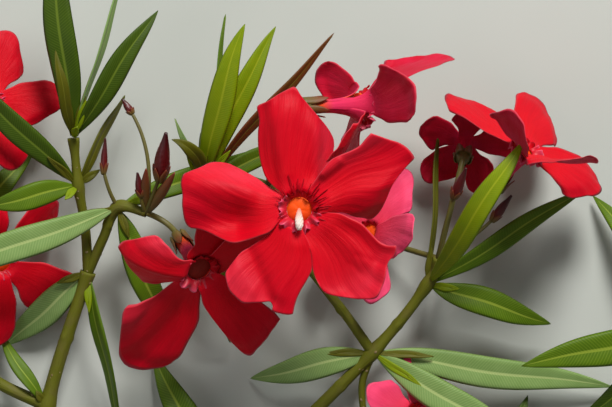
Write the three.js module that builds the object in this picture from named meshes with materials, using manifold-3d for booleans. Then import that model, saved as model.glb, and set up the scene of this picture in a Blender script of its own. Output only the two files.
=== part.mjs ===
// A cut flowering branch of oleander, lying on its side on a level surface with its open blooms facing up.
// Units are millimetres. X runs across the branch, Y from the cut end to the top, Z up from the surface.
// The stem, the shoots, the whorls of leaves, the blooms and the buds are separate solids that nearly touch.

import * as THREE from 'three';
import { mergeVertices } from 'three/addons/utils/BufferGeometryUtils.js';
import Module from 'manifold-3d';

const wasm = await Module();
wasm.setup();

// Clearance between neighbouring solids, and the share of a leaf that may be trimmed where it passes a piece
const SEAM = 0.3;
const END_CLEARANCE = 1.1 * SEAM;
const MOST_TRIMMED = 0.06;

// Shoots
const SHOOT_SIDES = 6;
const RING_STEP = 10;
const CURVE_SAMPLES = 60;
const NODE_HALF_LENGTH = 3;
const NODE_SWELL = 0.4;
const HUB_RADIUS = 1.7;

// Leaves
const LEAF_THICKNESS = 1.2;
const LEAF_FOLD = 0.22;
const LEAF_STATIONS = [0, 0.1, 0.25, 0.44, 0.65, 0.85, 1];
const PETIOLE_HALF_WIDTH = 0.65;
const LEAF_TIP_HALF_WIDTH = 0.25;
const LEAF_ARCH = 4;
const LEAF_ROOT_OFFSET = 0.9;
const LEAF_LEAN = 0.85;
const LEAF_FULLNESS = 0.8;
const LEAF_SECTION = [[1, 0], [0, 1], [-1, 0], [0, -1]];

// Leaves that are given by their headings alone
const USUAL_REACH = 43;
const REACH_SPREAD = 9;
const HEADING_SPREAD = 12;
const USUAL_WIDTH = 8.5;
const USUAL_TIP_HEIGHT = 3;

// Blooms
const PETAL_COUNT = 5;
const PETAL_TURN = (2 * Math.PI) / PETAL_COUNT;
const PETAL_THICKNESS = 0.8;
const PETAL_REACH = 28.4;
const PETAL_PITCH = 0.1;
const PETAL_ROOT = 2.4;
const PETAL_ROOT_HALF_WIDTH = 1.6;
const TUBE_LENGTH = 15;
const TUBE_RADIUS = 1.5;
const TUBE_FLARE = 0.3;
const FUNNEL_SIDES = 7;
const CROWN_RADIUS = 4;
const CROWN_HEIGHT = 1.6;
const CROWN_LOBE_LENGTH = 3.2;
const CROWN_LOBE_RADIUS = 0.8;
const CROWN_LOBE_LEAN = 1.1;
const ANTHER_RADIUS = 1.05;
const ANTHER_TAPER = 0.75;
const ANTHER_SIDES = 6;

// Half section of the funnel from the outside of its foot to the middle of its throat: radius, height over
// the mouth, and the way that each point moves when the funnel is made thicker
const FUNNEL_SECTION = [
  [3.7, -3.2, 1, -1],
  [5.4, -0.6, 1, -1],
  [5.4, 0.5, 1, 1],
  [2.8, -1.2, 0, 1],
  [0, -3, 0, 1],
];

// The middle line of the cone of anthers, from the floor of the throat
const ANTHER_LINE = [[0, 0, -2], [0, -0.2, 1.6], [0, -2.6, 2.5], [0, -4.9, 2.7]];

// Calyces, and the stalks that bear the blooms
const CUP_DEPTH = 2.4;
const CUP_SHOULDER = 0.6;
const CUP_RIM = 2.6;
const CUP_CLEARANCE = 0.5;
const CUP_WALL = 0.7;
const SEPAL_TEETH = 5;
const SEPAL_LENGTH = 2.6;
const PEDICEL_RADIUS = 0.75;
const PEDICEL_START = 1.6;
const PEDICEL_BEND = 9;
const PEDICEL_HEIGHT = 2;
const PEDICEL_STEPS = 4;
const PEDICEL_SIDES = 5;

// Buds
const BUD_SIDES = 6;
const BUD_STATIONS = [0, 0.15, 0.45, 0.75, 1];
const BUD_FOOT_SHARE = 0.3;
const BUD_TAPER = 0.6;
const BUD_TIP_RADIUS = 0.12;
const BUD_STALK_RADIUS = 0.45;
const BUD_STALK_SIDES = 4;

// The places of the shoots' joints
const CUT_END = [-90, -204, 3.6];
const FORK = [-75.5, -129.5, 4.2];
const LEFT_BASE = [-70, -89, 6];
const LEFT_LOW = [-64.5, -50.5, 8];
const LEFT_FORK = [-54, -17, 12];
const LEFT_BEND = [-56, 4.5, 18];
const LEFT_TIP = [-57, 16, 20];
const BUD_NODE = [-46.2, -0.9, 19];
const BUD_HUB = [-39.2, -2.3, 21];
const SIDE_NODE = [-90.5, -14.5, 11];
const SIDE_HUB = [-88.5, -5.5, 13];
const RIGHT_BASE = [-54, -109, 5];
const RIGHT_LOW = [-20, -74, 7];
const RIGHT_FORK = [16.5, -37, 10.5];
const RIGHT_NODE = [30, -20, 14];
const RIGHT_HUB = [32.5, -13.5, 17];
const CENTRE_NODE = [-25, 5, 22];
const CENTRE_HUB = [-9, 4.5, 27];
const LOWER_HUB = [14.5, -54, 6];
const OUTER_LOW = [38, -90, 4.5];
const OUTER_BEND = [82, -65, 7.5];
const OUTER_TIP = [98, -30, 13];

// The shoots: each is one smooth limb through its points, from its thick end to its thin one. A lateral shoot
// starts on the axis of the limb that bears it.
const SHOOTS = {
  main_stem: { radii: [3.6, 3.1], points: [CUT_END, [-84, -166, 3.7], FORK] },
  left_shoot: { radii: [2.4, 1.5], points: [FORK, LEFT_BASE, LEFT_LOW, LEFT_FORK] },
  left_tip_shoot: { radii: [1.3, 1], points: [LEFT_FORK, [-54.5, -6, 15], LEFT_BEND, LEFT_TIP] },
  bud_shoot: { radii: [1.3, 1.1], points: [LEFT_FORK, [-50, -8.5, 15.5], BUD_NODE, BUD_HUB] },
  left_side_shoot: {
    radii: [1.6, 1.1],
    points: [LEFT_LOW, [-79, -43, 7.5], [-88.5, -30, 9], SIDE_NODE, SIDE_HUB],
  },
  right_shoot: {
    radii: [2.4, 1.2],
    points: [FORK, RIGHT_BASE, RIGHT_LOW, RIGHT_FORK, RIGHT_NODE, RIGHT_HUB],
  },
  centre_shoot: {
    radii: [1.3, 0.9],
    points: [RIGHT_FORK, [7.5, -24.5, 14.5], [-5, -10, 18], CENTRE_NODE],
  },
  flower_stalk: { radii: [1, 0.9], points: [CENTRE_NODE, [-17, 6.5, 25.5], CENTRE_HUB] },
  lower_stalk: { radii: [1, 0.8], points: [RIGHT_FORK, [14, -45, 8], LOWER_HUB] },
  outer_shoot: { radii: [1.8, 1.1], points: [RIGHT_LOW, [4, -87, 4.5], OUTER_LOW, OUTER_BEND, OUTER_TIP] },
};

// The whorls of leaves. Each sits on the shoot's point of that number, and each leaf is given by its tip and
// its greatest width. arch lifts the middle of the blade, and roll turns it about its midrib, in degrees. A
// whorl with a hub ends its shoot there, and its flower stalks start from it. One with headings has leaves of
// the usual size that point those ways, in degrees from the X axis.
const WHORLS = {
  left_base_leaves: { shoot: 'left_shoot', joint: 1, headings: [22, 168, 222] },
  left_low_leaves: {
    shoot: 'left_shoot',
    joint: 2,
    leaves: [
      { tip: [-77, -32, 3], width: 4, roll: 30 },
      { tip: [-40, -84, 0.6], width: 8 },
      { tip: [-101, -72, 0.6], width: 8.5 },
    ],
  },
  left_fork_leaves: {
    shoot: 'left_shoot',
    joint: 3,
    leaves: [
      { tip: [-76, -36, 0.6], width: 7.6, arch: 2 },
      { tip: [-46.5, -58, 0.6], width: 6, roll: 50 },
    ],
  },
  left_bend_leaves: {
    shoot: 'left_tip_shoot',
    joint: 2,
    leaves: [
      { tip: [-86, 34, 25], width: 6.6, roll: -20 },
      { tip: [-78, -1, 21], width: 6.4 },
      { tip: [-45, 27, 9], width: 4, roll: 55 },
    ],
  },
  left_tip_leaves: {
    shoot: 'left_tip_shoot',
    joint: 3,
    leaves: [
      { tip: [-61.5, 66, 28], width: 7.6 },
      { tip: [-60.5, 37, 31], width: 3.2, roll: 25 },
      { tip: [-44, 57, 24], width: 3.6, roll: 68 },
      { tip: [-36, 47, 25], width: 6, roll: 18 },
    ],
  },
  bud_leaves: {
    shoot: 'bud_shoot',
    hub: true,
    joint: 2,
    leaves: [
      { tip: [-97, -21, 26], width: 7.8, arch: 5 },
      { tip: [-8, 14, 15], width: 6, arch: -3 },
      { tip: [-33, -36, 4], width: 7 },
    ],
  },
  side_leaves: {
    shoot: 'left_side_shoot',
    hub: true,
    joint: 3,
    leaves: [
      { tip: [-108, 22, 3], width: 7.5 },
      { tip: [-106, -52, 0.6], width: 8 },
      { tip: [-68, 14, 1], width: 7 },
    ],
  },
  right_base_leaves: { shoot: 'right_shoot', joint: 1, headings: [322, 266] },
  right_low_leaves: { shoot: 'right_shoot', joint: 2, headings: [118, 292] },
  right_fork_leaves: {
    shoot: 'right_shoot',
    joint: 3,
    leaves: [
      { tip: [77, -46, 3], width: 8, arch: 2 },
      { tip: [56, -61, 7], width: 8 },
      { tip: [-14, -44, 0.6], width: 7.5 },
    ],
  },
  right_node_leaves: {
    shoot: 'right_shoot',
    hub: true,
    joint: 4,
    leaves: [
      { tip: [52.2, 15.3, 37], width: 6.4, arch: 11, roll: -15 },
      { tip: [61, -30, 8], width: 7.2 },
      { tip: [33, 18.5, 9], width: 3, roll: 55 },
      { tip: [70, 4, 9], width: 5.4, roll: 20 },
    ],
  },
  centre_leaves: {
    shoot: 'centre_shoot',
    joint: 3,
    leaves: [
      { tip: [-14.6, 43, 37], width: 6.8, roll: -12 },
      { tip: [-7.3, 42.8, 30], width: 6.2, roll: 15 },
      { tip: [-19.5, 46, 27], width: 2.6, roll: 62 },
      { tip: [6.8, 41.3, 29], width: 3.8, roll: 45 },
      { tip: [-1, 16, 17], width: 5, arch: -1 },
      { tip: [-31.6, 20.5, 33], width: 3.2, arch: 2 },
      { tip: [-19, -35, 3], width: 7 },
    ],
  },
  outer_low_leaves: { shoot: 'outer_shoot', joint: 2, headings: [66, 294] },
  outer_bend_leaves: { shoot: 'outer_shoot', joint: 3, headings: [322, 250] },
  outer_tip_leaves: {
    shoot: 'outer_shoot',
    joint: 4,
    leaves: [
      { tip: [52.7, -39.8, 21], width: 9, arch: 3 },
      { tip: [66, -56, 6], width: 6 },
      { tip: [90, 14, 8], width: 8 },
      { tip: [111, 12, 17], width: 8.5 },
      { tip: [72, 2, 2], width: 7.5 },
    ],
  },
};

// Outlines of one petal, along and across it: the points of its clockwise edge and of its anticlockwise edge
const PLAIN_PETAL = {
  clockwise: [[4.8, -2.6], [8.5, -4.6], [11.8, -7.3], [14.9, -9], [17.8, -7.3], [22.6, -3.9], [27.6, -0.8]],
  anticlockwise: [[4.8, 3], [11.3, 7.4], [16.9, 8.2], [22.6, 9.3], [26.8, 5.6], [28.4, 0.6]],
};
const TOP_PETAL = {
  clockwise: [[5.2, -3.1], [10, -6.6], [15.5, -9.4], [22.6, -5.2], [28, -1.8]],
  anticlockwise: [[4, 4.2], [9.5, 7], [15.7, 8.2], [24.4, 8.4], [28.6, -0.4]],
};
const UPPER_RIGHT_PETAL = {
  clockwise: [[7.3, -3.3], [11.8, -7.1], [14.8, -8.9], [17.9, -7.3], [24.2, -2.4], [29.4, 1]],
  anticlockwise: [[4.9, 4.2], [11.8, 7.5], [16.7, 7.8], [22.1, 9.9], [26.6, 5.9], [29.6, 2.4]],
};
const LOWER_RIGHT_PETAL = {
  clockwise: [[6.6, -2.1], [12.2, -6.6], [15.3, -7.8], [18.8, -8.2], [24.9, -3.5], [28, -0.4]],
  anticlockwise: [[6, 5.4], [13.4, 8.9], [18.3, 9.4], [21.9, 11.8], [23.5, 7.5], [25.6, 4.9], [28.2, 1]],
};
const LOWER_LEFT_PETAL = {
  clockwise: [[6.6, -1.9], [12.7, -5.4], [17.2, -7], [21.6, -6.8], [23, -5.6], [25.2, -2]],
  anticlockwise: [[5, 4.6], [10.1, 9.2], [17.4, 10.8], [21.6, 11.8], [23.7, 7.8], [24.4, 4.5], [25.4, -0.4]],
};
const LEFT_PETAL = {
  clockwise: [[5.2, -2], [10.1, -3.5], [16, -5.4], [19.7, -6.6], [24, -5.9], [28.2, -2.1]],
  anticlockwise: [[5, 5], [9.4, 9.2], [13.2, 11.5], [18.6, 11], [25.1, 10.3], [28.6, 0.7]],
};

// The plain outline at a share of its size
const plainPetal = (share) => ({
  clockwise: PLAIN_PETAL.clockwise.map(([along, aside]) => [share * along, share * aside]),
  anticlockwise: PLAIN_PETAL.anticlockwise.map(([along, aside]) => [share * along, share * aside]),
});

// The blooms. centre is the middle of the mouth, axis the way that it faces, and turn the heading of the
// first petal in degrees. open gives each petal's slope out of the mouth's plane at its root and at its tip,
// and lean how far it stands from its even place round the mouth, both in degrees.
const BLOOMS = {
  main_bloom: {
    centre: [-1.6, -1.4, 50],
    axis: [0, 0, 1],
    turn: 94.5,
    tube: 19,
    petals: [TOP_PETAL, LEFT_PETAL, LOWER_LEFT_PETAL, LOWER_RIGHT_PETAL, UPPER_RIGHT_PETAL],
    open: [[0, 4], [0, -10], [2, -14], [0, 6], [0, 2]],
    grid: [5, 3],
    crown: true,
    hub: CENTRE_HUB,
  },
  lower_left_bloom: {
    centre: [-25.4, -16.2, 36],
    axis: [0.35, -0.5, 0.79],
    turn: 100,
    petals: [0.75, 0.86, 1.05, 1, 1].map(plainPetal),
    lean: [-24, 0, -9, -5, 0],
    open: [[0, -10], [30, -85], [8, 4], [14, 14], [0, 0]],
    grid: [5, 3],
    hub: BUD_HUB,
  },
  upper_right_bloom: {
    centre: [14.1, 23.6, 34],
    axis: [0.92, 0.03, -0.37],
    turn: 98,
    petals: [0.9, 0.85, 0.75, 0.8, 0.65].map(plainPetal),
    open: [[35, 95], [5, 15], [-20, -60], [0, 10], [-10, -30]],
    grid: [5, 3],
    hub: CENTRE_HUB,
  },
  right_bloom: {
    centre: [53.2, 13, 26],
    axis: [0.47, 0.65, 0.6],
    turn: 116,
    size: 0.85,
    open: [[0, -10], [25, 70], [25, 70], [0, -10], [0, 0]],
    grid: [3, 2],
    hub: RIGHT_HUB,
  },
  nodding_bloom: {
    centre: [39.5, 15, 9],
    axis: [0.1, 0.45, -0.88],
    turn: 100,
    size: 0.5,
    open: [[0, -40], [0, -30], [0, -30], [0, -30], [0, -40]],
    grid: [3, 2],
    hub: RIGHT_HUB,
  },
  inner_bloom: {
    centre: [15.5, -7, 17],
    axis: [-0.4, 0.22, 0.89],
    turn: 60,
    size: 0.65,
    open: [[0, -10], [0, -20], [0, -10], [0, 10], [20, 45]],
    grid: [3, 2],
    hub: RIGHT_HUB,
  },
  left_bloom: {
    centre: [-77.5, 25.5, 18],
    axis: [0.3, 0.25, 0.92],
    turn: 68,
    size: 0.65,
    open: [[0, 10], [0, 0], [0, -10], [0, -10], [0, 10]],
    grid: [3, 2],
    hub: SIDE_HUB,
  },
  lower_bloom: {
    centre: [-75, -15, 12.5],
    axis: [0.5, -0.3, 0.81],
    turn: 45,
    size: 0.75,
    open: [[0, -10], [0, -10], [0, 0], [10, 10], [15, 25]],
    grid: [3, 2],
    hub: SIDE_HUB,
  },
  bottom_bloom: {
    centre: [27, -52, 10.5],
    axis: [0.6, 0.05, 0.8],
    turn: 80,
    size: 0.56,
    open: [[0, 0], [0, 0], [0, 10], [0, 10], [0, 0]],
    grid: [3, 2],
    hub: LOWER_HUB,
  },
};

// The buds, each a spindle from its base to its tip on a thin stalk that leaves a hub, by way of one point
const BUDS = {
  large_bud: { base: [-35.6, 5.2, 27], tip: [-33.7, 17, 33], width: 4.2, hub: BUD_HUB, way: [-37.5, 1.5, 25],
  },
  small_bud: { base: [-40.2, 1.5, 24], tip: [-41, 7.5, 26], width: 2.1, hub: BUD_HUB, way: [-40, -1, 23] },
  high_bud: { base: [-42.4, 21.8, 21], tip: [-45, 25.6, 21], width: 1.9, hub: BUD_HUB, way: [-36.5, 12, 22] },
  thin_bud: { base: [-49.5, 7, 22], tip: [-49, 16, 23], width: 1.7, hub: BUD_NODE, way: [-48.5, 3, 22] },
  right_bud: { base: [45.5, -4.5, 18], tip: [50.5, 2, 19], width: 2.4, hub: RIGHT_HUB, way: [39, -10.5, 18] },
  middle_bud: { base: [35.8, 1, 24], tip: [38.8, 8.6, 28.5], width: 2.7, hub: RIGHT_HUB, way: [33.5, -6, 22],
  },
};

const COLOURS = {
  bark: 0x6b6a2e,
  leaf: 0x5f7f1f,
  petal: 0xc8101f,
  calyx: 0x8a5a2a,
  anther: 0xe8d8c0,
  bud: 0x5a0a10,
};

const point = (coords) => new THREE.Vector3(...coords);
const radians = THREE.MathUtils.degToRad;
const lerp = THREE.MathUtils.lerp;
const lengthOf = (trace) => trace.run[trace.run.length - 1];

// A seeded number from 0 to 1
const dealt = (seed) => {
  const wave = Math.sin(seed * 12.9898) * 43758.5453;
  return wave - Math.floor(wave);
};

// Turns a closed geometry into a solid with its faces pointing out.
function toSolid(geometry) {
  const bare = geometry.clone();
  bare.deleteAttribute('normal');
  bare.deleteAttribute('uv');
  const merged = mergeVertices(bare, 1e-4);
  const triangles = new Uint32Array(merged.index.array);
  const make = () => new wasm.Manifold(new wasm.Mesh({
    numProp: 3,
    vertProperties: merged.attributes.position.array,
    triVerts: triangles,
  }));
  const solid = make();
  if (solid.volume() > 0) return solid;
  for (let i = 0; i < triangles.length; i += 3) {
    [triangles[i + 1], triangles[i + 2]] = [triangles[i + 2], triangles[i + 1]];
  }
  return make();
}

// Skins a row of rings, each with the same number of points, and closes both ends.
function loft(rings) {
  const sides = rings[0].length;
  const positions = rings.flat().flatMap((p) => p.toArray());
  const indices = [];
  for (let r = 0; r < rings.length - 1; r += 1) {
    for (let k = 0; k < sides; k += 1) {
      const a = r * sides + k;
      const b = r * sides + ((k + 1) % sides);
      indices.push(a, b, a + sides, b, b + sides, a + sides);
    }
  }
  const last = (rings.length - 1) * sides;
  for (let k = 1; k < sides - 1; k += 1) {
    indices.push(0, k + 1, k, last, last + k, last + k + 1);
  }
  const geometry = new THREE.BufferGeometry();
  geometry.setAttribute('position', new THREE.Float32BufferAttribute(positions, 3));
  geometry.setIndex(indices);
  return toSolid(geometry);
}

// Joins solids into one.
const union = (solids) => solids.reduce((whole, solid) => whole.add(solid));

// Keeps the largest body of a solid and drops the loose scraps.
function largest(solid) {
  const bodies = solid.decompose();
  return bodies.reduce((best, body) => (body.volume() > best.volume() ? body : best));
}

// A row of round sections along a path. radiusAt gives the radius at a share of the path's length.
function limb(path, radiusAt, sides) {
  const rings = [];
  let side = new THREE.Vector3(0, 0, 1);
  path.forEach((centre, i) => {
    const before = path[Math.max(i - 1, 0)];
    const after = path[Math.min(i + 1, path.length - 1)];
    const ahead = after.clone().sub(before).normalize();
    side = side.clone().addScaledVector(ahead, -side.dot(ahead)).normalize();
    const across = new THREE.Vector3().crossVectors(ahead, side);
    const radius = radiusAt(i / (path.length - 1));
    const ring = [];
    for (let k = 0; k < sides; k += 1) {
      const angle = (2 * Math.PI * k) / sides;
      ring.push(centre.clone()
        .addScaledVector(side, radius * Math.cos(angle))
        .addScaledVector(across, radius * Math.sin(angle)));
    }
    rings.push(ring);
  });
  return loft(rings);
}

// A shoot's centre line as close samples, with the distance run at each of them and at each of its joints.
function traceShoot(shoot) {
  const spans = shoot.points.length - 1;
  const curve = new THREE.CatmullRomCurve3(shoot.points.map(point), false, 'catmullrom', 0.5);
  const samples = [];
  const steps = spans * CURVE_SAMPLES;
  for (let i = 0; i <= steps; i += 1) samples.push(curve.getPoint(i / steps));
  const run = [0];
  for (let i = 1; i < samples.length; i += 1) run.push(run[i - 1] + samples[i].distanceTo(samples[i - 1]));
  return { samples, run, joints: shoot.points.map((_, i) => run[i * CURVE_SAMPLES]), radii: shoot.radii };
}

// The point of a traced shoot at a distance from its thick end.
function alongShoot(trace, distance) {
  const last = trace.run.length - 1;
  let i = 1;
  while (i < last && trace.run[i] < distance) i += 1;
  const share = (distance - trace.run[i - 1]) / (trace.run[i] - trace.run[i - 1]);
  return trace.samples[i - 1].clone().lerp(trace.samples[i], share);
}

// The stretch of a shoot between two distances, thicker by grow. swell thickens its middle.
function shootPiece(trace, from, to, grow, swell = 0) {
  const length = lengthOf(trace);
  const steps = Math.max(2, Math.round((to - from) / RING_STEP));
  const path = [];
  for (let i = 0; i <= steps; i += 1) path.push(alongShoot(trace, lerp(from - grow, to + grow, i / steps)));
  const radiusAt = (share) => lerp(trace.radii[0], trace.radii[1], lerp(from, to, share) / length)
    + swell * Math.sin(Math.PI * share) + grow;
  return limb(path, radiusAt, SHOOT_SIDES);
}

// A small ball at the end of a stalk, where the flower stalks start.
function hub(place, grow) {
  const ball = new THREE.IcosahedronGeometry(HUB_RADIUS + grow);
  ball.translate(...place);
  return toSolid(ball);
}

// The half width of a leaf at a share of its length: a stalk, then a blade that is widest below its middle.
function leafHalfWidth(width, share) {
  const blade = (width / 2) * Math.sin(Math.PI * share ** LEAF_LEAN) ** LEAF_FULLNESS;
  return share < 1 ? Math.max(blade, PETIOLE_HALF_WIDTH * (1 - share)) : LEAF_TIP_HALF_WIDTH;
}

// One leaf from its root beside the shoot's axis to its tip. Where it would sink, it lies on the surface.
function leafSolid(root, leaf, grow) {
  const end = point(leaf.tip);
  const start = point(root).lerp(end, LEAF_ROOT_OFFSET / point(root).distanceTo(end));
  const middle = start.clone().lerp(end, 0.5);
  middle.z += 2 * (leaf.arch ?? LEAF_ARCH);
  const curve = new THREE.QuadraticBezierCurve3(start, middle, end);
  const roll = radians(leaf.roll ?? 0);
  const rings = LEAF_STATIONS.map((share) => {
    const centre = curve.getPoint(share);
    const ahead = curve.getTangent(share);
    const level = new THREE.Vector3(-ahead.y, ahead.x, 0).normalize();
    const upright = new THREE.Vector3().crossVectors(ahead, level);
    const side = level.clone().multiplyScalar(Math.cos(roll)).addScaledVector(upright, Math.sin(roll));
    const face = new THREE.Vector3().crossVectors(ahead, side);
    const half = leafHalfWidth(leaf.width, share);
    return LEAF_SECTION.map(([across, skin]) => {
      const corner = centre.clone()
        .addScaledVector(side, across * (half + grow))
        .addScaledVector(face, skin * (LEAF_THICKNESS / 2 + grow) + Math.abs(across) * LEAF_FOLD * half);
      corner.z = Math.max(corner.z, ((skin + 1) / 2) * LEAF_THICKNESS);
      return corner;
    });
  });
  return loft(rings);
}

// The leaves of a whorl: the listed ones, or leaves of the usual size at its headings.
function whorlLeaves(whorl, root) {
  if (whorl.leaves) return whorl.leaves;
  return whorl.headings.map((degrees) => {
    const heading = radians(degrees + HEADING_SPREAD * (dealt(degrees) - 0.5));
    const reach = USUAL_REACH + REACH_SPREAD * (dealt(degrees + 0.5) - 0.5);
    const tip = [root[0] + reach * Math.cos(heading), root[1] + reach * Math.sin(heading), USUAL_TIP_HEIGHT];
    return { tip, width: USUAL_WIDTH };
  });
}

// The place at a share of the length of a row of points.
function alongEdge(edge, share) {
  const run = [0];
  for (let i = 1; i < edge.length; i += 1) {
    run.push(run[i - 1] + Math.hypot(edge[i][0] - edge[i - 1][0], edge[i][1] - edge[i - 1][1]));
  }
  const distance = share * run[run.length - 1];
  let i = 1;
  while (i < run.length - 1 && run[i] < distance) i += 1;
  const part = (distance - run[i - 1]) / (run[i] - run[i - 1]);
  return [lerp(edge[i - 1][0], edge[i][0], part), lerp(edge[i - 1][1], edge[i][1], part)];
}

// The sections of one petal in the bloom's own frame, at its heading: a plate that bends out of the plane of
// the mouth.
function petalRings(outline, size, heading, open, grid, grow) {
  const [rows, columns] = grid;
  const clockwise = [[PETAL_ROOT, -PETAL_ROOT_HALF_WIDTH], ...outline.clockwise];
  const anticlockwise = [[PETAL_ROOT, PETAL_ROOT_HALF_WIDTH], ...outline.anticlockwise];
  const outward = new THREE.Vector3(Math.cos(heading), Math.sin(heading), 0);
  const across = new THREE.Vector3(-outward.y, outward.x, 0);
  const first = radians(open[0]);
  const bend = (radians(open[1] - open[0]) || 1e-6) / (PETAL_REACH * size);
  const rings = [];
  for (let i = 0; i <= rows; i += 1) {
    const low = alongEdge(clockwise, i / rows);
    const high = alongEdge(anticlockwise, i / rows);
    const upper = [];
    const lower = [];
    for (let j = 0; j <= columns; j += 1) {
      const share = j / columns;
      const edge = share === 0 ? -grow : share === 1 ? grow : 0;
      const reach = size * lerp(low[0], high[0], share) + (i === rows ? grow : 0);
      const aside = size * lerp(low[1], high[1], share) + edge;
      const slope = first + bend * reach;
      const run = (Math.sin(slope) - Math.sin(first)) / bend;
      const rise = (Math.cos(first) - Math.cos(slope)) / bend + PETAL_PITCH * aside;
      const skin = outward.clone().multiplyScalar(-Math.sin(slope)).setZ(Math.cos(slope));
      const middle = outward.clone().multiplyScalar(run).addScaledVector(across, aside).setZ(rise);
      upper.push(middle.clone().addScaledVector(skin, PETAL_THICKNESS / 2 + grow));
      lower.unshift(middle.clone().addScaledVector(skin, -PETAL_THICKNESS / 2 - grow));
    }
    rings.push([...upper, ...lower]);
  }
  return rings;
}

// The frame of a bloom: Z along its axis, Y as near the part's Y as that allows, at its centre.
function bloomFrame(bloom) {
  const ahead = point(bloom.axis).normalize();
  const up = new THREE.Vector3(0, 1, 0);
  up.addScaledVector(ahead, -up.dot(ahead)).normalize();
  const right = new THREE.Vector3().crossVectors(up, ahead);
  return new THREE.Matrix4().makeBasis(right, up, ahead).setPosition(...bloom.centre);
}

// Turns a half section, radius by height, about the local Z axis, in a bloom's frame.
function turned(section, sides, frame) {
  const geometry = new THREE.LatheGeometry(section.map(([r, z]) => new THREE.Vector2(r, z)), sides);
  geometry.rotateX(Math.PI / 2);
  geometry.applyMatrix4(frame);
  return toSolid(geometry);
}

// One lobe of the crown, a small flat cone that leans out of the mouth.
function crownLobe(heading, grow) {
  const lobe = new THREE.ConeGeometry(CROWN_LOBE_RADIUS + grow, CROWN_LOBE_LENGTH + grow, 3);
  lobe.rotateZ(-CROWN_LOBE_LEAN);
  lobe.translate(CROWN_RADIUS, CROWN_HEIGHT / 2, 0);
  lobe.rotateX(Math.PI / 2);
  lobe.rotateZ(heading);
  return lobe;
}

// The corolla: five petals fused to the funnel and tube below them, with the lobes of the crown in the mouth.
function corolla(bloom, grow) {
  const frame = bloomFrame(bloom);
  const size = bloom.size ?? 1;
  const tube = (bloom.tube ?? TUBE_LENGTH) * size;
  const solids = [turned([
    [0, -tube - grow],
    [TUBE_RADIUS + grow, -tube - grow],
    [TUBE_RADIUS + TUBE_FLARE + grow, -tube / 2],
    ...FUNNEL_SECTION.map(([radius, height, out, up]) => [radius + out * grow, height + up * grow]),
  ], FUNNEL_SIDES, frame)];
  const rowSize = 2 * (bloom.grid[1] + 1);
  for (let k = 0; k < PETAL_COUNT; k += 1) {
    const outline = bloom.petals ? bloom.petals[k] : PLAIN_PETAL;
    const heading = radians(bloom.turn + (bloom.lean ? bloom.lean[k] : 0)) + PETAL_TURN * k;
    const rings = petalRings(outline, size, heading, bloom.open[k], bloom.grid, grow);
    rings.flat().forEach((corner, i) => {
      corner.applyMatrix4(frame);
      const front = i % rowSize < rowSize / 2;
      corner.z = Math.max(corner.z, front === bloom.axis[2] > 0 ? PETAL_THICKNESS : 0);
    });
    solids.push(loft(rings));
    if (bloom.crown) solids.push(toSolid(crownLobe(heading + PETAL_TURN / 2, grow).applyMatrix4(frame)));
  }
  return largest(union(solids));
}

// The calyx: a cup round the foot of the tube whose rim runs out into five sepals, on the stalk that bears
// it.
function calyx(bloom, grow) {
  const frame = bloomFrame(bloom);
  const size = bloom.size ?? 1;
  const foot = -(bloom.tube ?? TUBE_LENGTH) * size;
  const rim = foot + CUP_RIM + grow;
  const bore = TUBE_RADIUS + CUP_CLEARANCE;
  const cup = new THREE.LatheGeometry([
    [0, foot - CUP_DEPTH - grow],
    [PEDICEL_RADIUS + grow, foot - CUP_DEPTH - grow],
    [bore + CUP_WALL + grow, foot - CUP_SHOULDER],
    [bore + CUP_WALL + grow, rim],
    [bore, rim],
    [bore, foot - END_CLEARANCE],
    [0, foot - END_CLEARANCE],
  ].map(([radius, height]) => new THREE.Vector2(radius, height)), 2 * SEPAL_TEETH);
  const corners = cup.getAttribute('position');
  for (let i = 0; i < corners.count; i += 1) {
    const tooth = Math.round(Math.atan2(corners.getX(i), corners.getZ(i)) / (Math.PI / SEPAL_TEETH));
    const onRim = corners.getY(i) > rim - SEAM;
    if (onRim && tooth % 2 === 0) corners.setY(i, rim + SEPAL_LENGTH * size);
  }
  cup.rotateX(Math.PI / 2);
  cup.applyMatrix4(frame);
  const end = new THREE.Vector3(0, 0, foot - PEDICEL_START).applyMatrix4(frame);
  const way = new THREE.Vector3(0, 0, foot - PEDICEL_BEND * size).applyMatrix4(frame);
  way.z = Math.max(way.z, PEDICEL_HEIGHT);
  const stalk = new THREE.QuadraticBezierCurve3(point(bloom.hub), way, end);
  return toSolid(cup).add(limb(stalk.getPoints(PEDICEL_STEPS), () => PEDICEL_RADIUS + grow, PEDICEL_SIDES));
}

// The cone of anthers that stands in the mouth of the main bloom, leaning towards the cut end.
function antherCone(grow) {
  const path = ANTHER_LINE.map((place) => point(place).add(point(BLOOMS.main_bloom.centre)));
  return limb(path, (share) => ANTHER_RADIUS * (1 - ANTHER_TAPER * share ** 2) + grow, ANTHER_SIDES);
}

// A bud: a spindle on a thin stalk.
function budSolid(bud, grow) {
  const base = point(bud.base);
  const tip = point(bud.tip);
  const girth = (i) => {
    const share = BUD_STATIONS[Math.round(i * (BUD_STATIONS.length - 1))];
    const bulge = BUD_FOOT_SHARE + (1 - BUD_FOOT_SHARE) * Math.sin(Math.PI * share ** LEAF_LEAN);
    return (bud.width / 2) * bulge * (1 - share * BUD_TAPER) + BUD_TIP_RADIUS + grow;
  };
  const spindle = limb(BUD_STATIONS.map((share) => base.clone().lerp(tip, share)), girth, BUD_SIDES);
  const foot = base.clone().lerp(tip, BUD_STATIONS[1]);
  const stalk = new THREE.QuadraticBezierCurve3(point(bud.hub), point(bud.way), foot);
  return spindle.add(limb(stalk.getPoints(PEDICEL_STEPS), () => BUD_STALK_RADIUS + grow, BUD_STALK_SIDES));
}

// The part. Each piece is cut clear of the room of the pieces that are already there.
const branch = new THREE.Group();
const placed = [];

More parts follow.
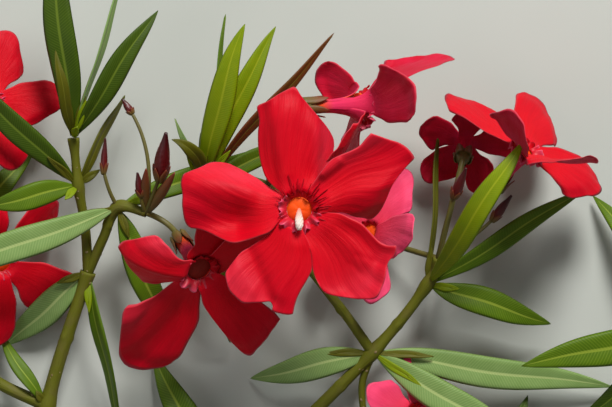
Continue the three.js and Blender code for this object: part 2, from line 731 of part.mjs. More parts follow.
function meet(a, b) {
  const [boxA, boxB] = [a.boundingBox(), b.boundingBox()];
  return [0, 1, 2].every((i) => boxA.min[i] < boxB.max[i] && boxB.min[i] < boxA.max[i]);
}

// Cuts the skins or rooms of the other pieces out of a solid.
const clearOf = (solid, owner, layer) => placed
  .filter((other) => other.owner !== owner && meet(solid, other[layer]))
  .reduce((rest, other) => rest.subtract(other[layer]), solid);

// Keeps the room round a piece for it. The room gives way to the skins of the pieces that are already there.
function keepRoom(owner, build) {
  placed.push({ owner, skin: build(SEAM / 2), room: clearOf(build(SEAM), owner, 'skin') });
}

function addPiece(name, colour, build) {
  const mesh = largest(clearOf(build(0), name, 'room')).getMesh();
  keepRoom(name, build);
  const geometry = new THREE.BufferGeometry();
  geometry.setAttribute('position', new THREE.Float32BufferAttribute(mesh.vertProperties, mesh.numProp));
  geometry.setIndex(Array.from(mesh.triVerts));
  geometry.computeVertexNormals();
  const material = new THREE.MeshStandardMaterial({ color: colour, roughness: 0.6, metalness: 0 });
  const piece = new THREE.Mesh(geometry, material);
  piece.name = name;
  branch.add(piece);
}

const traces = Object.fromEntries(Object.entries(SHOOTS).map(([name, shoot]) => [name, traceShoot(shoot)]));

// The stretch of its shoot that a whorl takes up.
function whorlSpan(whorl) {
  const trace = traces[whorl.shoot];
  const joint = trace.joints[whorl.joint];
  return [joint - NODE_HALF_LENGTH, whorl.hub ? lengthOf(trace) : joint + NODE_HALF_LENGTH];
}

// The woody part of a whorl: a swollen stretch of its shoot, with the hub of the flower stalks if it has one.
function whorlStem(whorl, grow) {
  const trace = traces[whorl.shoot];
  const [from, to] = whorlSpan(whorl);
  const stem = shootPiece(trace, from, to, grow, NODE_SWELL);
  return whorl.hub ? stem.add(hub(SHOOTS[whorl.shoot].points.at(-1), grow)) : stem;
}

// The room of each whorl's stem is kept before the limbs are placed.
for (const [name, whorl] of Object.entries(WHORLS)) keepRoom(name, (grow) => whorlStem(whorl, grow));

// Limbs: each shoot is parted where a whorl sits on it, and a bare stalk ends in a hub.
for (const [name, trace] of Object.entries(traces)) {
  const spans = Object.values(WHORLS).filter((whorl) => whorl.shoot === name).map(whorlSpan);
  const starts = [0, ...spans.map(([, to]) => to + END_CLEARANCE)];
  const ends = [...spans.map(([from]) => from - END_CLEARANCE), lengthOf(trace)];
  const parts = starts.map((from, i) => [from, ends[i]]).filter(([from, to]) => to - from > SEAM);
  const partNames = parts.length === 2 ? ['lower', 'upper'] : ['lower', 'middle', 'upper', 'top'];
  parts.forEach(([from, to], i) => {
    addPiece(parts.length > 1 ? `${name}_${partNames[i]}` : name, COLOURS.bark, (grow) => {
      const piece = shootPiece(trace, from, to, grow);
      return name.endsWith('stalk') ? piece.add(hub(SHOOTS[name].points.at(-1), grow)) : piece;
    });
  });
}

// Blooms and buds
for (const [name, bloom] of Object.entries(BLOOMS)) {
  addPiece(`${name}_corolla`, COLOURS.petal, (grow) => corolla(bloom, grow));
  addPiece(`${name}_calyx`, COLOURS.calyx, (grow) => calyx(bloom, grow));
}
addPiece('main_bloom_anthers', COLOURS.anther, antherCone);
for (const [name, bud] of Object.entries(BUDS)) {
  addPiece(name, COLOURS.bud, (grow) => budSolid(bud, grow));
}

// Whorls: a swollen stretch of the shoot with its leaves fused on. A leaf that would touch another piece is
// left out.
for (const [name, whorl] of Object.entries(WHORLS)) {
  const root = SHOOTS[whorl.shoot].points[whorl.joint];
  const leaves = whorlLeaves(whorl, root).filter((leaf) => {
    const blade = leafSolid(root, leaf, 0);
    return clearOf(blade, name, 'room').volume() > (1 - MOST_TRIMMED) * blade.volume();
  });
  addPiece(name, COLOURS.leaf, (grow) => union([
    whorlStem(whorl, grow),
    ...leaves.map((leaf) => leafSolid(root, leaf, grow)),
  ]));
}

// The origin is the middle of the part's outline on the surface.
const bounds = new THREE.Box3().setFromObject(branch);
const middle = bounds.getCenter(new THREE.Vector3());
branch.position.set(-middle.x, -middle.y, -bounds.min.z);

export default branch;
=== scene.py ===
"""A cut flowering branch of oleander that lies on its side on a pale floor, seen from straight above.

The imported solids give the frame, and each of them is replaced by a finer mesh that grows by the same
rule. Lengths are in millimetres in the branch's drawing frame until a mesh is made: X runs across the
branch, Y from the cut end to the flowering end, Z up from the surface.
"""

import logging
import math
from dataclasses import dataclass, field
from enum import Enum

import bmesh
import bpy
import numpy as np
from mathutils import Color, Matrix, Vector


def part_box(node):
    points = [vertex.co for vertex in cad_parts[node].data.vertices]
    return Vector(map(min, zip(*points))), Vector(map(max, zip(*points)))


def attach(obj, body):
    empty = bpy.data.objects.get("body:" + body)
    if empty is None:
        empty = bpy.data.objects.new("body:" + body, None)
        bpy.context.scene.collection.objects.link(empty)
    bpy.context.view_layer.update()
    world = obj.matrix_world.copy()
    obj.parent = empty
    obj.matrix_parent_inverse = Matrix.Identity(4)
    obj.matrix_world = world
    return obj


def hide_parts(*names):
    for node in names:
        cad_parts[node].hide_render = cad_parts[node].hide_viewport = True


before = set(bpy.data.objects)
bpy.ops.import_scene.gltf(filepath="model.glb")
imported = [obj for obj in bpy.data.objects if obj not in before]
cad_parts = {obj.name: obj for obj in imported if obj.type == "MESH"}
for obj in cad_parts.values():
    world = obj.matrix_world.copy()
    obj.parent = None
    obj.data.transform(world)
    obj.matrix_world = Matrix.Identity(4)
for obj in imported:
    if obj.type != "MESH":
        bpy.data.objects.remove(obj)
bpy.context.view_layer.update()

LOG = logging.getLogger("oleander")
Array = np.ndarray
Coords = tuple[float, ...]
Rows = tuple[Coords, ...]
Piece = bpy.types.Object
Material = bpy.types.Material
Tree = bpy.types.NodeTree
Socket = bpy.types.NodeSocket
Sockets = bpy.types.bpy_prop_collection
Value = Socket | Material | Coords | float | int | str

MILLIMETRE = 0.001
SCREEN_WHITE = 255
UPWARDS = np.array([0.0, 0.0, 1.0])
FULL_TURN = 2 * math.pi
LEAST_LENGTH = 1e-9
LEAST_BEND = 1e-6
NOUGHT = np.zeros((1, 1))
PETAL_COUNT = 5
PETAL_ANGLE = 360 / PETAL_COUNT

# How a leaf's waves are dealt out: the weight of its tip's X in the seed, and the spread of the phases
SEED_WEIGHT = 0.7
PHASE_SPREAD = 6

# The rule by which the solids deal out what differs from piece to piece
DEAL_STEP = 12.9898
DEAL_SPREAD = 43758.5453

# How finely curves are sampled, and how the solid of the main stem is divided
CURVE_SAMPLES = 60
SOLID_SIDES = 6
SOLID_RING_STEP = 10


def unit(vectors: Array) -> Array:
    """Scales the vectors along the last axis to a length of one."""
    return vectors / np.maximum(np.linalg.norm(vectors, axis=-1, keepdims=True), LEAST_LENGTH)


def dealt(seed: float) -> float:
    """Deals a number from 0 to 1 by the seeded rule of the solids."""
    large = math.sin(seed * DEAL_STEP) * DEAL_SPREAD
    return large - math.floor(large)


def mix(first: Array | float, second: Array | float, share: Array | float) -> Array:
    """Goes from the first value to the second by a share."""
    return first + (second - first) * share


def eased(low: float, high: float, values: Array) -> Array:
    """Rises smoothly from 0 at low to 1 at high."""
    share = np.clip((values - low) / (high - low), 0, 1)
    return share * share * (3 - 2 * share)


def hump(distance: Array, width: float) -> Array:
    """A soft bump of height one that has mostly gone a width away."""
    return np.exp(-((distance / width) ** 2))


def zigzag(values: Array) -> Array:
    """Goes straight down from 1 to 0 and up again over each step of one."""
    return np.abs((values % 1) * 2 - 1)


def wave(shape: Coords, along: Array, phase: float = 0) -> Array:
    """A sine with a count of radians for each unit along, a size and a phase."""
    count, size = shape
    return size * np.sin(count * along + phase)


def even(count: int) -> Array:
    """Spreads numbers evenly from 0 to 1, both included."""
    return np.linspace(0, 1, count)


def circle(sides: int) -> Array:
    """Deals angles evenly round a circle, in radians."""
    return np.arange(sides) * FULL_TURN / sides


def lattice(rows: int, columns: int, first: float = 0) -> tuple[Array, Array]:
    """Gives the shares across a sheet, from first to 1, and those along it, from 0 to 1."""
    return np.linspace(first, 1, columns)[None, :], even(rows)[:, None]


def paired(*values: Array | float) -> Array:
    """Puts numbers together into points, in the shape that they have in common."""
    return np.stack(np.broadcast_arrays(*values), axis=-1)


def around(radius: Array, angle: Array, height: Array | float) -> Array:
    """Puts points at a radius and an angle round Z, and at a height."""
    return paired(radius * np.cos(angle), radius * np.sin(angle), height)


@dataclass(frozen=True)
class Lance:
    """How the width of a pointed blade rises and falls from its root to its tip.

    The blade begins at a share of the whole rise and fall and goes on for another. A lower early puts the
    widest place nearer the root, and a lower fullness makes the blade fuller.
    """

    begin: float
    length: float
    early: float
    fullness: float = 1.0

    def widths(self, shares: Array) -> Array:
        """Gives the width at places along the blade, as a share of the greatest one."""
        return np.sin(math.pi * (self.begin + self.length * shares) ** self.early) ** self.fullness


def smooth_line(points: list[Coords] | Array, samples: int = CURVE_SAMPLES) -> Array:
    """Samples the smooth curve through some points.

    Args:
        points: the points that the curve passes through.
        samples: how many samples each stretch between two points gets.

    Returns:
        The samples, one to a row.
    """
    knots = np.array(points, dtype=float)
    padded = np.vstack([2 * knots[0] - knots[1], knots, 2 * knots[-1] - knots[-2]])
    share = (np.arange(samples) / samples)[:, None]
    rows = []
    for before, start, end, after in zip(padded, padded[1:], padded[2:], padded[3:]):
        leave = (end - before) / 2
        arrive = (after - start) / 2
        bend = 3 * (end - start) - 2 * leave - arrive
        settle = 2 * (start - end) + leave + arrive
        rows.append(start + leave * share + bend * share**2 + settle * share**3)
    return np.vstack([*rows, knots[-1:]])


def quadratic(start: Array, way: Array, end: Array, shares: Array) -> Array:
    """Samples the quadratic Bezier curve from start to end by way of one point."""
    t = shares[:, None]
    return start * (1 - t) ** 2 + way * 2 * t * (1 - t) + end * t**2


@dataclass
class Line:
    """A line of close samples, read by the distance run along it."""

    samples: Array

    def __post_init__(self) -> None:
        """Measures the distance run at each sample."""
        steps = np.linalg.norm(np.diff(self.samples, axis=0), axis=1)
        self.run = np.concatenate([[0], np.cumsum(steps)])
        self.length = float(self.run[-1])

    def at(self, distances: Array | float) -> Array:
        """Reads the points at some distances from the start."""
        return np.stack([np.interp(distances, self.run, axis) for axis in self.samples.T], axis=-1)

    def spread(self, count: int) -> Array:
        """Reads points spread evenly along the line, both ends included."""
        return self.at(np.linspace(0, self.length, count))


def sections(path: Array, radii: Array, sides: int, twist: float = 0) -> Array:
    """Sets round sections along a path, without spin between them.

    Args:
        path: the middle of each section.
        radii: the radius of each section, or of each section and side.
        sides: how many points each section has.
        twist: how far the last section turns against the first, in radians.

    Returns:
        An array of sections by sides by three.
    """
    ahead = unit(np.vstack([path[1:2] - path[:1], path[2:] - path[:-2], path[-1:] - path[-2:-1]]))
    angles = circle(sides)
    radii = np.broadcast_to(np.asarray(radii).reshape(len(path), -1), (len(path), sides))
    side = UPWARDS
    rings = []
    for i, (centre, forward) in enumerate(zip(path, ahead)):
        side = unit(side - forward * side.dot(forward))
        across = np.cross(forward, side)
        turned = (angles + twist * i / (len(path) - 1))[:, None]
        rings.append(centre + radii[i][:, None] * (side * np.cos(turned) + across * np.sin(turned)))
    return np.array(rings)


def surface_normals(grid: Array) -> Array:
    """Works out the unit normals of an open grid of points."""
    return unit(np.cross(np.gradient(grid, axis=0), np.gradient(grid, axis=1)))


@dataclass
class Shape:
    """Closed skins gathered into one mesh, with their texture places, finishes and values."""

    name: str
    points: list[Array] = field(default_factory=list)
    corners: list[Array] = field(default_factory=list)
    face_sizes: list[Array] = field(default_factory=list)
    corner_places: list[Array] = field(default_factory=list)
    finishes: list[Array] = field(default_factory=list)
    values: dict[str, list[Array]] = field(default_factory=dict)
    count: int = 0

    def add_faces(self, faces: Array, places: Array, finish: int) -> None:
        """Adds faces over the points to come, with the texture place of each corner.

        Args:
            faces: the points of each face, counted from the next point.
            places: the texture place of each corner.
            finish: the number of their finish.
        """
        self.corners.append((faces + self.count).reshape(-1))
        self.face_sizes.append(np.full(len(faces), faces.shape[1]))
        self.corner_places.append(places.reshape(-1, 2))
        self.finishes.append(np.full(len(faces), finish))

    def add_skin(self, rings: Array, places: Array, finish: int = 0, **values: Array) -> None:
        """Adds one closed skin over a row of rings, its ends closed to a point, with its faces outwards.

        Args:
            rings: rings by points by three.
            places: the texture place of each point, rings by points plus one by two.
            finish: the number of the finish.
            values: named numbers for each point, rings by points.
        """
        count, sides = rings.shape[:2]
        index = np.arange(count * sides).reshape(count, sides)
        following = np.roll(index, -1, axis=1)
        quads = np.stack([index[:-1], following[:-1], following[1:], index[1:]], axis=-1).reshape(-1, 4)
        squares = np.stack([places[:-1, :-1], places[:-1, 1:], places[1:, 1:], places[1:, :-1]], axis=2)
        poles = np.full(sides, count * sides)
        low = np.stack([poles, following[0], index[0]], axis=-1)
        high = np.stack([poles + 1, index[-1], following[-1]], axis=-1)
        middles = (places[:, :-1] + places[:, 1:])[[0, -1]] / 2
        low_places = np.stack([middles[0], places[0, 1:], places[0, :-1]], axis=1)
        high_places = np.stack([middles[1], places[-1, :-1], places[-1, 1:]], axis=1)
        points = np.vstack([rings.reshape(-1, 3), rings[0].mean(axis=0), rings[-1].mean(axis=0)])
        first, second, third, fourth = (points[quads[:, corner]] for corner in range(4))
        volume = np.sum(first * (np.cross(second, third) + np.cross(third, fourth)))
        way = -1 if volume < 0 else 1
        for faces, corners in ((quads, squares.reshape(-1, 4, 2)), (low, low_places), (high, high_places)):
            self.add_faces(faces[:, ::way], corners[:, ::way], finish)
        self.points.append(points)
        for name, value in values.items():
            value = np.broadcast_to(value, (count, sides))
            ends = [value[0].mean(), value[-1].mean()]
            self.values.setdefault(name, []).append(np.concatenate([value.reshape(-1), ends]))
        self.count += len(points)

    def add_tube(self, path: Array, radii: Array, sides: int, finish: int = 0, **values: Array) -> None:
        """Adds a round tube along a path, with texture places in millimetres round it and along it.

        Args:
            path: the middle line.
            radii: the radius at each point, or at each point and side.
            sides: how many sides the tube has.
            finish: the number of its finish.
            values: named numbers for each point.
        """
        rings = sections(path, radii, sides)
        run = Line(path).run[:, None]
        round_it = np.linspace(0, FULL_TURN * float(np.mean(radii)), sides + 1)[None, :]
        self.add_skin(rings, paired(round_it, run), finish, **values)

    def add_sheet(self, middle: Array, thickness: Array | float, places: Array, upper: int = 0,
                  under: int = 0, **values: Array) -> None:
        """Adds a thin closed sheet about a middle surface, its two sides meeting at the edges.

        Args:
            middle: the middle surface, rows by columns by three.
            thickness: how thick the sheet is, everywhere or at each point.
            places: the texture place of each point, rows by columns by two.
            upper: the number of the finish on the side of the normals.
            under: the number of the finish on the other side.
            values: named numbers for each point, rows by columns.
        """
        count, columns = middle.shape[:2]
        lift = surface_normals(middle) * (np.broadcast_to(thickness, (count, columns)) / 2)[..., None]
        lift[[0, -1]] = 0
        lift[:, [0, -1]] = 0
        top = np.arange(count * columns).reshape(count, columns)
        bottom = top.copy()
        inner_count = (count - 2) * (columns - 2)
        bottom[1:-1, 1:-1] = count * columns + np.arange(inner_count).reshape(count - 2, -1)
        inner = (middle - lift)[1:-1, 1:-1].reshape(-1, 3)
        self.points.append(np.vstack([(middle + lift).reshape(-1, 3), inner]))
        near, far = slice(None, -1), slice(1, None)
        for index, turn, finish in ((top, 1, upper), (bottom, -1, under)):
            corners = [(near, near), (far, near), (far, far), (near, far)][::turn]
            faces = np.stack([index[corner] for corner in corners], axis=-1).reshape(-1, 4)
            self.add_faces(faces, np.stack([places[corner] for corner in corners], axis=2), finish)
        for name, value in values.items():
            value = np.broadcast_to(value, (count, columns))
            kept = np.concatenate([value.reshape(-1), value[1:-1, 1:-1].reshape(-1)])
            self.values.setdefault(name, []).append(kept)
        self.count += len(self.points[-1])

    def make(self, finishes: list[str], replaced: list[str]) -> Piece:
        """Makes the object, lets it ride and takes the place of its solids.

        Args:
            finishes: the names of the finishes, in the order of their numbers.
            replaced: the nodes that the object stands for.

        Returns:
            The finished object.
        """
        mesh = bpy.data.meshes.new(self.name)
        points = (np.vstack(self.points) + SHIFT) * MILLIMETRE
        corners = np.concatenate(self.corners)
        sizes = np.concatenate(self.face_sizes)
        mesh.vertices.add(len(points))
        mesh.vertices.foreach_set("co", points.reshape(-1))
        mesh.loops.add(len(corners))
        mesh.loops.foreach_set("vertex_index", corners)
        mesh.polygons.add(len(sizes))
        mesh.polygons.foreach_set("loop_start", np.concatenate([[0], np.cumsum(sizes)[:-1]]))
        mesh.polygons.foreach_set("material_index", np.concatenate(self.finishes))
        mesh.update(calc_edges=True)
        mesh.shade_smooth()
        mesh.uv_layers.new(name="places").data.foreach_set("uv", np.vstack(self.corner_places).reshape(-1))
        for name, value in self.values.items():
            attribute = mesh.attributes.new(name, "FLOAT", "POINT")
            attribute.data.foreach_set("value", np.concatenate(value))
        for finish in finishes:
            mesh.materials.append(MATERIALS[finish])
        return finish_piece(bpy.data.objects.new(self.name, mesh), replaced)


def finish_piece(piece: Piece, replaced: list[str]) -> Piece:
    """Links a piece, lets it ride on the branch and takes the place of its solids.

    Args:
        piece: the object, at the origin.
        replaced: the nodes that the object stands for.

    Returns:
        The same object.
    """
    if piece.name not in bpy.context.scene.collection.objects:
        bpy.context.scene.collection.objects.link(piece)
    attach(piece, "root")
    if replaced:
        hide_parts(*replaced)
    faces = len(piece.data.polygons)
    LOG.info("%s: %d faces, in place of %s", piece.name, faces, ", ".join(replaced) or "none")
    return piece


class Nodes:
    """Adds and joins the nodes of one node tree."""

    def __init__(self, tree: Tree) -> None:
        """Takes the tree that the nodes go into."""
        self.tree = tree

    def add(self, kind: str, inputs: dict[str | int, Value] | None = None,
            **settings: str | bool | Tree) -> bpy.types.Node:
        """Adds a node, with its inputs set to values or linked to sockets.

        Args:
            kind: the node's type.
            inputs: values or sockets for its inputs, by name or number.
            settings: its own settings.

        Returns:
            The node.
        """
        node = self.tree.nodes.new(kind)
        for name, setting in settings.items():
            setattr(node, name, setting)
        for name, value in (inputs or {}).items():
            if isinstance(value, Socket):
                self.tree.links.new(value, node.inputs[name])
            else:
                node.inputs[name].default_value = value
        return node

    def out(self, kind: str, inputs: dict[str | int, Value] | None = None, **settings: str | Tree) -> Socket:
        """Adds a node and gives its first output."""
        return self.add(kind, inputs, **settings).outputs[0]

    def maths(self, operation: str, *inputs: Value) -> Socket:
        """Adds a Math node and gives its result."""
        return self.out("ShaderNodeMath", dict(enumerate(inputs)), operation=operation)

    def times(self, first: Value, second: Value) -> Socket:
        """Multiplies two numbers and gives the result."""
        return self.maths("MULTIPLY", first, second)

    def mixed(self, share: Value, first: Value, second: Value) -> Socket:
        """Mixes two colours by a share and gives the result."""
        # The colour sockets of a Mix node come after those for numbers and vectors
        return self.add("ShaderNodeMix", {0: share, 6: first, 7: second}, data_type="RGBA").outputs[2]

    def laid(self, ground: Value, over: Value, mask: Value, share: Value) -> Socket:
        """Lays a colour over a ground where a mask says, by a share at most."""
        return self.mixed(self.times(mask, share), ground, over)

    def stretched(self, value: Socket, low: float, high: float, **settings: str) -> Socket:
        """Stretches a number so that it goes from 0 at low to 1 at high."""
        return self.out("ShaderNodeMapRange", {"Value": value, "From Min": low, "From Max": high}, **settings)

    def ramp(self, share: Value, stops: list[tuple[float, Coords]]) -> Socket:
        """Reads a colour from a row of stops at a share, and gives it.

        Args:
            share: where to read it, from 0 to 1.
            stops: places with their colours.

        Returns:
            The colour.
        """
        node = self.add("ShaderNodeValToRGB", {0: share})
        while len(node.color_ramp.elements) < len(stops):
            node.color_ramp.elements.new(1)
        for element, (place, tone) in zip(node.color_ramp.elements, stops):
            element.position = place
            element.color = tone
        return node.outputs[0]

    def attribute(self, name: str) -> Socket:
        """Reads a value that the mesh carries."""
        return self.add("ShaderNodeAttribute", attribute_name=name).outputs["Fac"]

    def places(self) -> Socket:
        """Reads the piece's own texture places."""
        return self.out("ShaderNodeUVMap", uv_map="places")

    def mottle(self, scale: float) -> Socket:
        """Places the shared patches on the piece's Object coordinates.

        Args:
            scale: how many patches there are to a metre.

        Returns:
            The patches, from 0 to 1.
        """
        objects = self.add("ShaderNodeTexCoord").outputs["Object"]
        inputs = {"Vector": objects, "Scale": scale}
        return self.out("ShaderNodeGroup", inputs, node_tree=GROUPS["mottle"])

    def veins(self, count: float, stretch: float) -> Socket:
        """Places the shared lines on the piece's texture places."""
        inputs = {"Vector": self.places(), "Count": count, "Stretch": stretch}
        return self.out("ShaderNodeGroup", inputs, node_tree=GROUPS["veins"])


def colour(red: int, green: int, blue: int) -> Coords:
    """Turns a colour in screen values from 0 to 255 into the linear one that a shader takes."""
    linear = Color([value / SCREEN_WHITE for value in (red, green, blue)]).from_srgb_to_scene_linear()
    return (*linear, 1.0)


class Family(Enum):
    """The kinds of node tree, each with the kind of its one output."""

    SHADER = ("ShaderNodeTree", "NodeSocketFloat")
    GEOMETRY = ("GeometryNodeTree", "NodeSocketGeometry")


def start_tree(name: str, family: Family, sockets: dict[str, str]) -> tuple[Nodes, Sockets]:
    """Starts a node tree with named inputs and one output.

    Args:
        name: the tree's name.
        family: what kind of tree it is.
        sockets: the kinds of its inputs, by name.

    Returns:
        Its nodes, and the outputs of its input node.
    """
    tree_kind, result_kind = family.value
    tree = bpy.data.node_groups.new(name, tree_kind)
    for label, kind in sockets.items():
        tree.interface.new_socket(label, in_out="INPUT", socket_type=f"NodeSocket{kind}")
    tree.interface.new_socket("Result", in_out="OUTPUT", socket_type=result_kind)
    nodes = Nodes(tree)
    return nodes, nodes.add("NodeGroupInput").outputs


def build_mottle() -> Tree:
    """Builds the group that gives soft cloudy patches with finer ones in them.

    Returns:
        The group.
    """
    detail, low, high = 4.0, 0.35, 0.65
    nodes, given = start_tree("mottle", Family.SHADER, {"Vector": "Vector", "Scale": "Float"})
    noise = nodes.out("ShaderNodeTexNoise", {
        "Vector": given["Vector"], "Scale": given["Scale"], "Detail": detail})
    nodes.add("NodeGroupOutput", {0: nodes.stretched(noise, low, high)})
    return nodes.tree


def build_veins() -> Tree:
    """Builds the group that gives fine wavering lines along the V of a texture place, spaced in U.

    Returns:
        The group.
    """
    detail, roughness, low, high = 3.0, 0.65, 0.3, 0.7
    sockets = {"Vector": "Vector", "Count": "Float", "Stretch": "Float"}
    nodes, given = start_tree("veins", Family.SHADER, sockets)
    apart = nodes.add("ShaderNodeSeparateXYZ", {0: given["Vector"]}).outputs
    lengthwise = nodes.out("ShaderNodeCombineXYZ", {
        "X": nodes.times(apart[0], given["Count"]), "Y": nodes.times(apart[1], given["Stretch"])})
    noise = nodes.out("ShaderNodeTexNoise", {
        "Vector": lengthwise, "Scale": 1.0, "Detail": detail, "Roughness": roughness})
    nodes.add("NodeGroupOutput", {0: nodes.stretched(noise, low, high)})
    return nodes.tree


def end_growth(nodes: Nodes, instances: Socket, material: Socket) -> None:
    """Makes the instances real, sets their finish and ends the tree.

    Args:
        nodes: the tree's nodes.
        instances: the instances.
        material: their finish.
    """
    real = nodes.out("GeometryNodeRealizeInstances", {0: instances})
    smooth = nodes.out("GeometryNodeSetShadeSmooth", {0: real})
    dressed = nodes.out("GeometryNodeSetMaterial", {"Geometry": smooth, "Material": material})
    nodes.add("NodeGroupOutput", {0: dressed})


def build_thread_tree() -> Tree:
    """Builds the tree that stands a thin bent thread on each point, turned and stretched by its values.

    Returns:
        The tree.
    """
    steps, sides, taper = 8, 5, 0.85
    sockets = {"Mesh": "Geometry", "Radius": "Float", "Rise": "Float", "Material": "Material"}
    nodes, given = start_tree("threads", Family.GEOMETRY, sockets)
    middle = nodes.out("ShaderNodeCombineXYZ", {"X": 0.5, "Z": given["Rise"]})
    line = nodes.out("GeometryNodeCurveQuadraticBezier", {
        "Resolution": steps, "Start": (0, 0, 0), "Middle": middle, "End": (1, 0, 0)})
    share = nodes.add("GeometryNodeSplineParameter").outputs["Factor"]
    thinned = nodes.maths("SUBTRACT", 1.0, nodes.times(share, taper))
    thin = nodes.out("GeometryNodeSetCurveRadius", {0: line, "Radius": thinned})
    ring = nodes.out("GeometryNodeCurvePrimitiveCircle", {"Resolution": sides, "Radius": given["Radius"]})
    skin = nodes.out("GeometryNodeCurveToMesh", {"Curve": thin, "Profile Curve": ring, "Fill Caps": True})
    turn, size = [nodes.out("GeometryNodeInputNamedAttribute", {"Name": name},
                            data_type="FLOAT_VECTOR") for name in ("turn", "size")]
    stood = nodes.out("GeometryNodeInstanceOnPoints", {
        "Points": given["Mesh"], "Instance": skin, "Rotation": turn, "Scale": size})
    end_growth(nodes, stood, given["Material"])
    return nodes.tree


def build_pore_tree() -> Tree:
    """Builds the tree that scatters low round pores over a skin, by a density for each square metre.

    Returns:
        The tree.
    """
    sides, rings, flattened, least, most = 8, 5, (1.0, 0.75, 0.3), 0.6, 1.3
    sockets = {"Mesh": "Geometry", "Density": "Float", "Radius": "Float", "Seed": "Int",
               "Material": "Material"}
    nodes, given = start_tree("pores", Family.GEOMETRY, sockets)
    strewn = nodes.add("GeometryNodeDistributePointsOnFaces", {
        "Mesh": given["Mesh"], "Density": given["Density"], "Seed": given["Seed"]}).outputs
    ball = nodes.out("GeometryNodeMeshUVSphere", {
        "Segments": sides, "Rings": rings, "Radius": given["Radius"]})
    low = nodes.out("GeometryNodeTransform", {"Geometry": ball, "Scale": flattened})
    size = nodes.add("FunctionNodeRandomValue", {2: least, 3: most, "Seed": given["Seed"]}).outputs[1]
    stood = nodes.out("GeometryNodeInstanceOnPoints", {
        "Points": strewn["Points"], "Instance": low, "Rotation": strewn["Rotation"],
        "Scale": size})
    end_growth(nodes, stood, given["Material"])
    return nodes.tree


def grow(name: str, base: bpy.types.Mesh, tree: Tree, values: dict[str, Value]) -> Piece:
    """Runs a tree over a mesh and makes the plain mesh that comes out an object.

    Args:
        name: the new piece's name.
        base: the mesh that the tree starts from.
        tree: the geometry tree.
        values: its inputs, by name.

    Returns:
        The new piece, with no modifier.
    """
    holder = bpy.data.objects.new(f"{name}_base", base)
    bpy.context.scene.collection.objects.link(holder)
    modifier = holder.modifiers.new("growth", "NODES")
    modifier.node_group = tree
    for socket in tree.interface.items_tree:
        if socket.in_out == "INPUT" and socket.name in values:
            modifier[socket.identifier] = values[socket.name]
    graph = bpy.context.evaluated_depsgraph_get()
    grown = holder.evaluated_get(graph)
    mesh = bpy.data.meshes.new_from_object(grown, preserve_all_data_layers=True, depsgraph=graph)
    bpy.data.objects.remove(holder)
    mesh.name = name
    return bpy.data.objects.new(name, mesh)


@dataclass(frozen=True)
class Surface:
    """What every finish has in common: its shader's values and the depth of its relief in millimetres."""

    name: str
    roughness: float = 0.5
    sheen: float = 0.0
    sheen_tint: Coords = (1.0, 1.0, 1.0, 1.0)
    specular: float = 0.5
    sheen_roughness: float = 0.3
    relief: float = 0.05
    relief_strength: float = 0.5

    def paint(self, nodes: Nodes) -> tuple[Socket, Socket]:
        """Gives the colour and the height of the relief, which each kind of finish makes in its own way."""
        raise NotImplementedError

    def material(self) -> Material:
        """Builds the material from its values, its colour and its relief.

        Returns:
            The material.
        """
        material = bpy.data.materials.new(self.name)
        material.use_nodes = True
        shader = material.node_tree.nodes["Principled BSDF"].inputs
        shader["Roughness"].default_value = self.roughness
        shader["Sheen Weight"].default_value = self.sheen
        shader["Sheen Tint"].default_value = self.sheen_tint
        shader["Sheen Roughness"].default_value = self.sheen_roughness
        shader["Specular IOR Level"].default_value = self.specular
        nodes = Nodes(material.node_tree)
        tone, height = self.paint(nodes)
        nodes.tree.links.new(tone, shader["Base Color"])
        if self.relief:
            bump = nodes.add("ShaderNodeBump", {
                "Height": height, "Distance": self.relief * MILLIMETRE, "Strength": self.relief_strength})
            nodes.tree.links.new(bump.outputs[0], shader["Normal"])
        return material


@dataclass(frozen=True)
class PetalFinish(Surface):
    """Petal skin: throat to margin in a row of colours, with fine lengthwise veins and soft patches, a pink
    painted sheen past the turned edges and a pale painted highlight along the rims.
    """

    throat: Coords = colour(255, 104, 0)
    mouth: Coords = colour(226, 0, 32)
    blade: Coords = colour(212, 0, 22)
    margin: Coords = colour(200, 0, 30)
    vein: Coords = colour(150, 0, 12)
    patch: Coords = colour(228, 8, 30)
    # Painted highlight: the pale line along the rims, where the edges catch the light
    rim: Coords = colour(232, 130, 140)
    # Painted sheen: the pink laid on past the turned edges
    painted_sheen_tone: Coords = colour(232, 56, 78)
    throat_end: float = 0.22
    mouth_start: float = 0.255
    blade_start: float = 0.45
    vein_grain: Coords = (46.0, 2.5)
    fine_grain: Coords = (130.0, 5.0)
    patch_scale: float = 160.0
    vein_share: float = 0.3
    fine_share: float = 0.5
    patch_share: float = 0.3
    # How strongly and how sharply the painted rim highlight is laid on
    rim_highlight_share: float = 0.3
    rim_highlight_sharpness: float = 1.5
    relief: float = 0.08
    relief_strength: float = 0.6

    def paint(self, nodes: Nodes) -> tuple[Socket, Socket]:
        """Gives the colour, with the pink painted sheen and the pale painted rim highlight that the mesh's
        values place, and the height of the veins.

        Args:
            nodes: the nodes of the material.

        Returns:
            The colour and the height of the relief.
        """
        ground = nodes.ramp(nodes.attribute("reach"), [
            (0.0, self.throat), (self.throat_end, self.throat), (self.mouth_start, self.mouth),
            (self.blade_start, self.blade), (1.0, self.margin)])
        veins = nodes.veins(*self.vein_grain)
        # Painted sheen: pink laid on past the turned edges
        with_painted_sheen = nodes.mixed(nodes.attribute("painted_sheen"), ground, self.painted_sheen_tone)
        toned = nodes.laid(with_painted_sheen, self.patch, nodes.mottle(self.patch_scale), self.patch_share)
        lined = nodes.laid(toned, self.vein, veins, self.vein_share)
        # Painted highlight: a pale line along the rims
        edge = nodes.maths("POWER", nodes.attribute("rim"), self.rim_highlight_sharpness)
        fine = nodes.times(nodes.veins(*self.fine_grain), self.fine_share)
        return nodes.laid(lined, self.rim, edge, self.rim_highlight_share), nodes.maths("ADD", veins, fine)


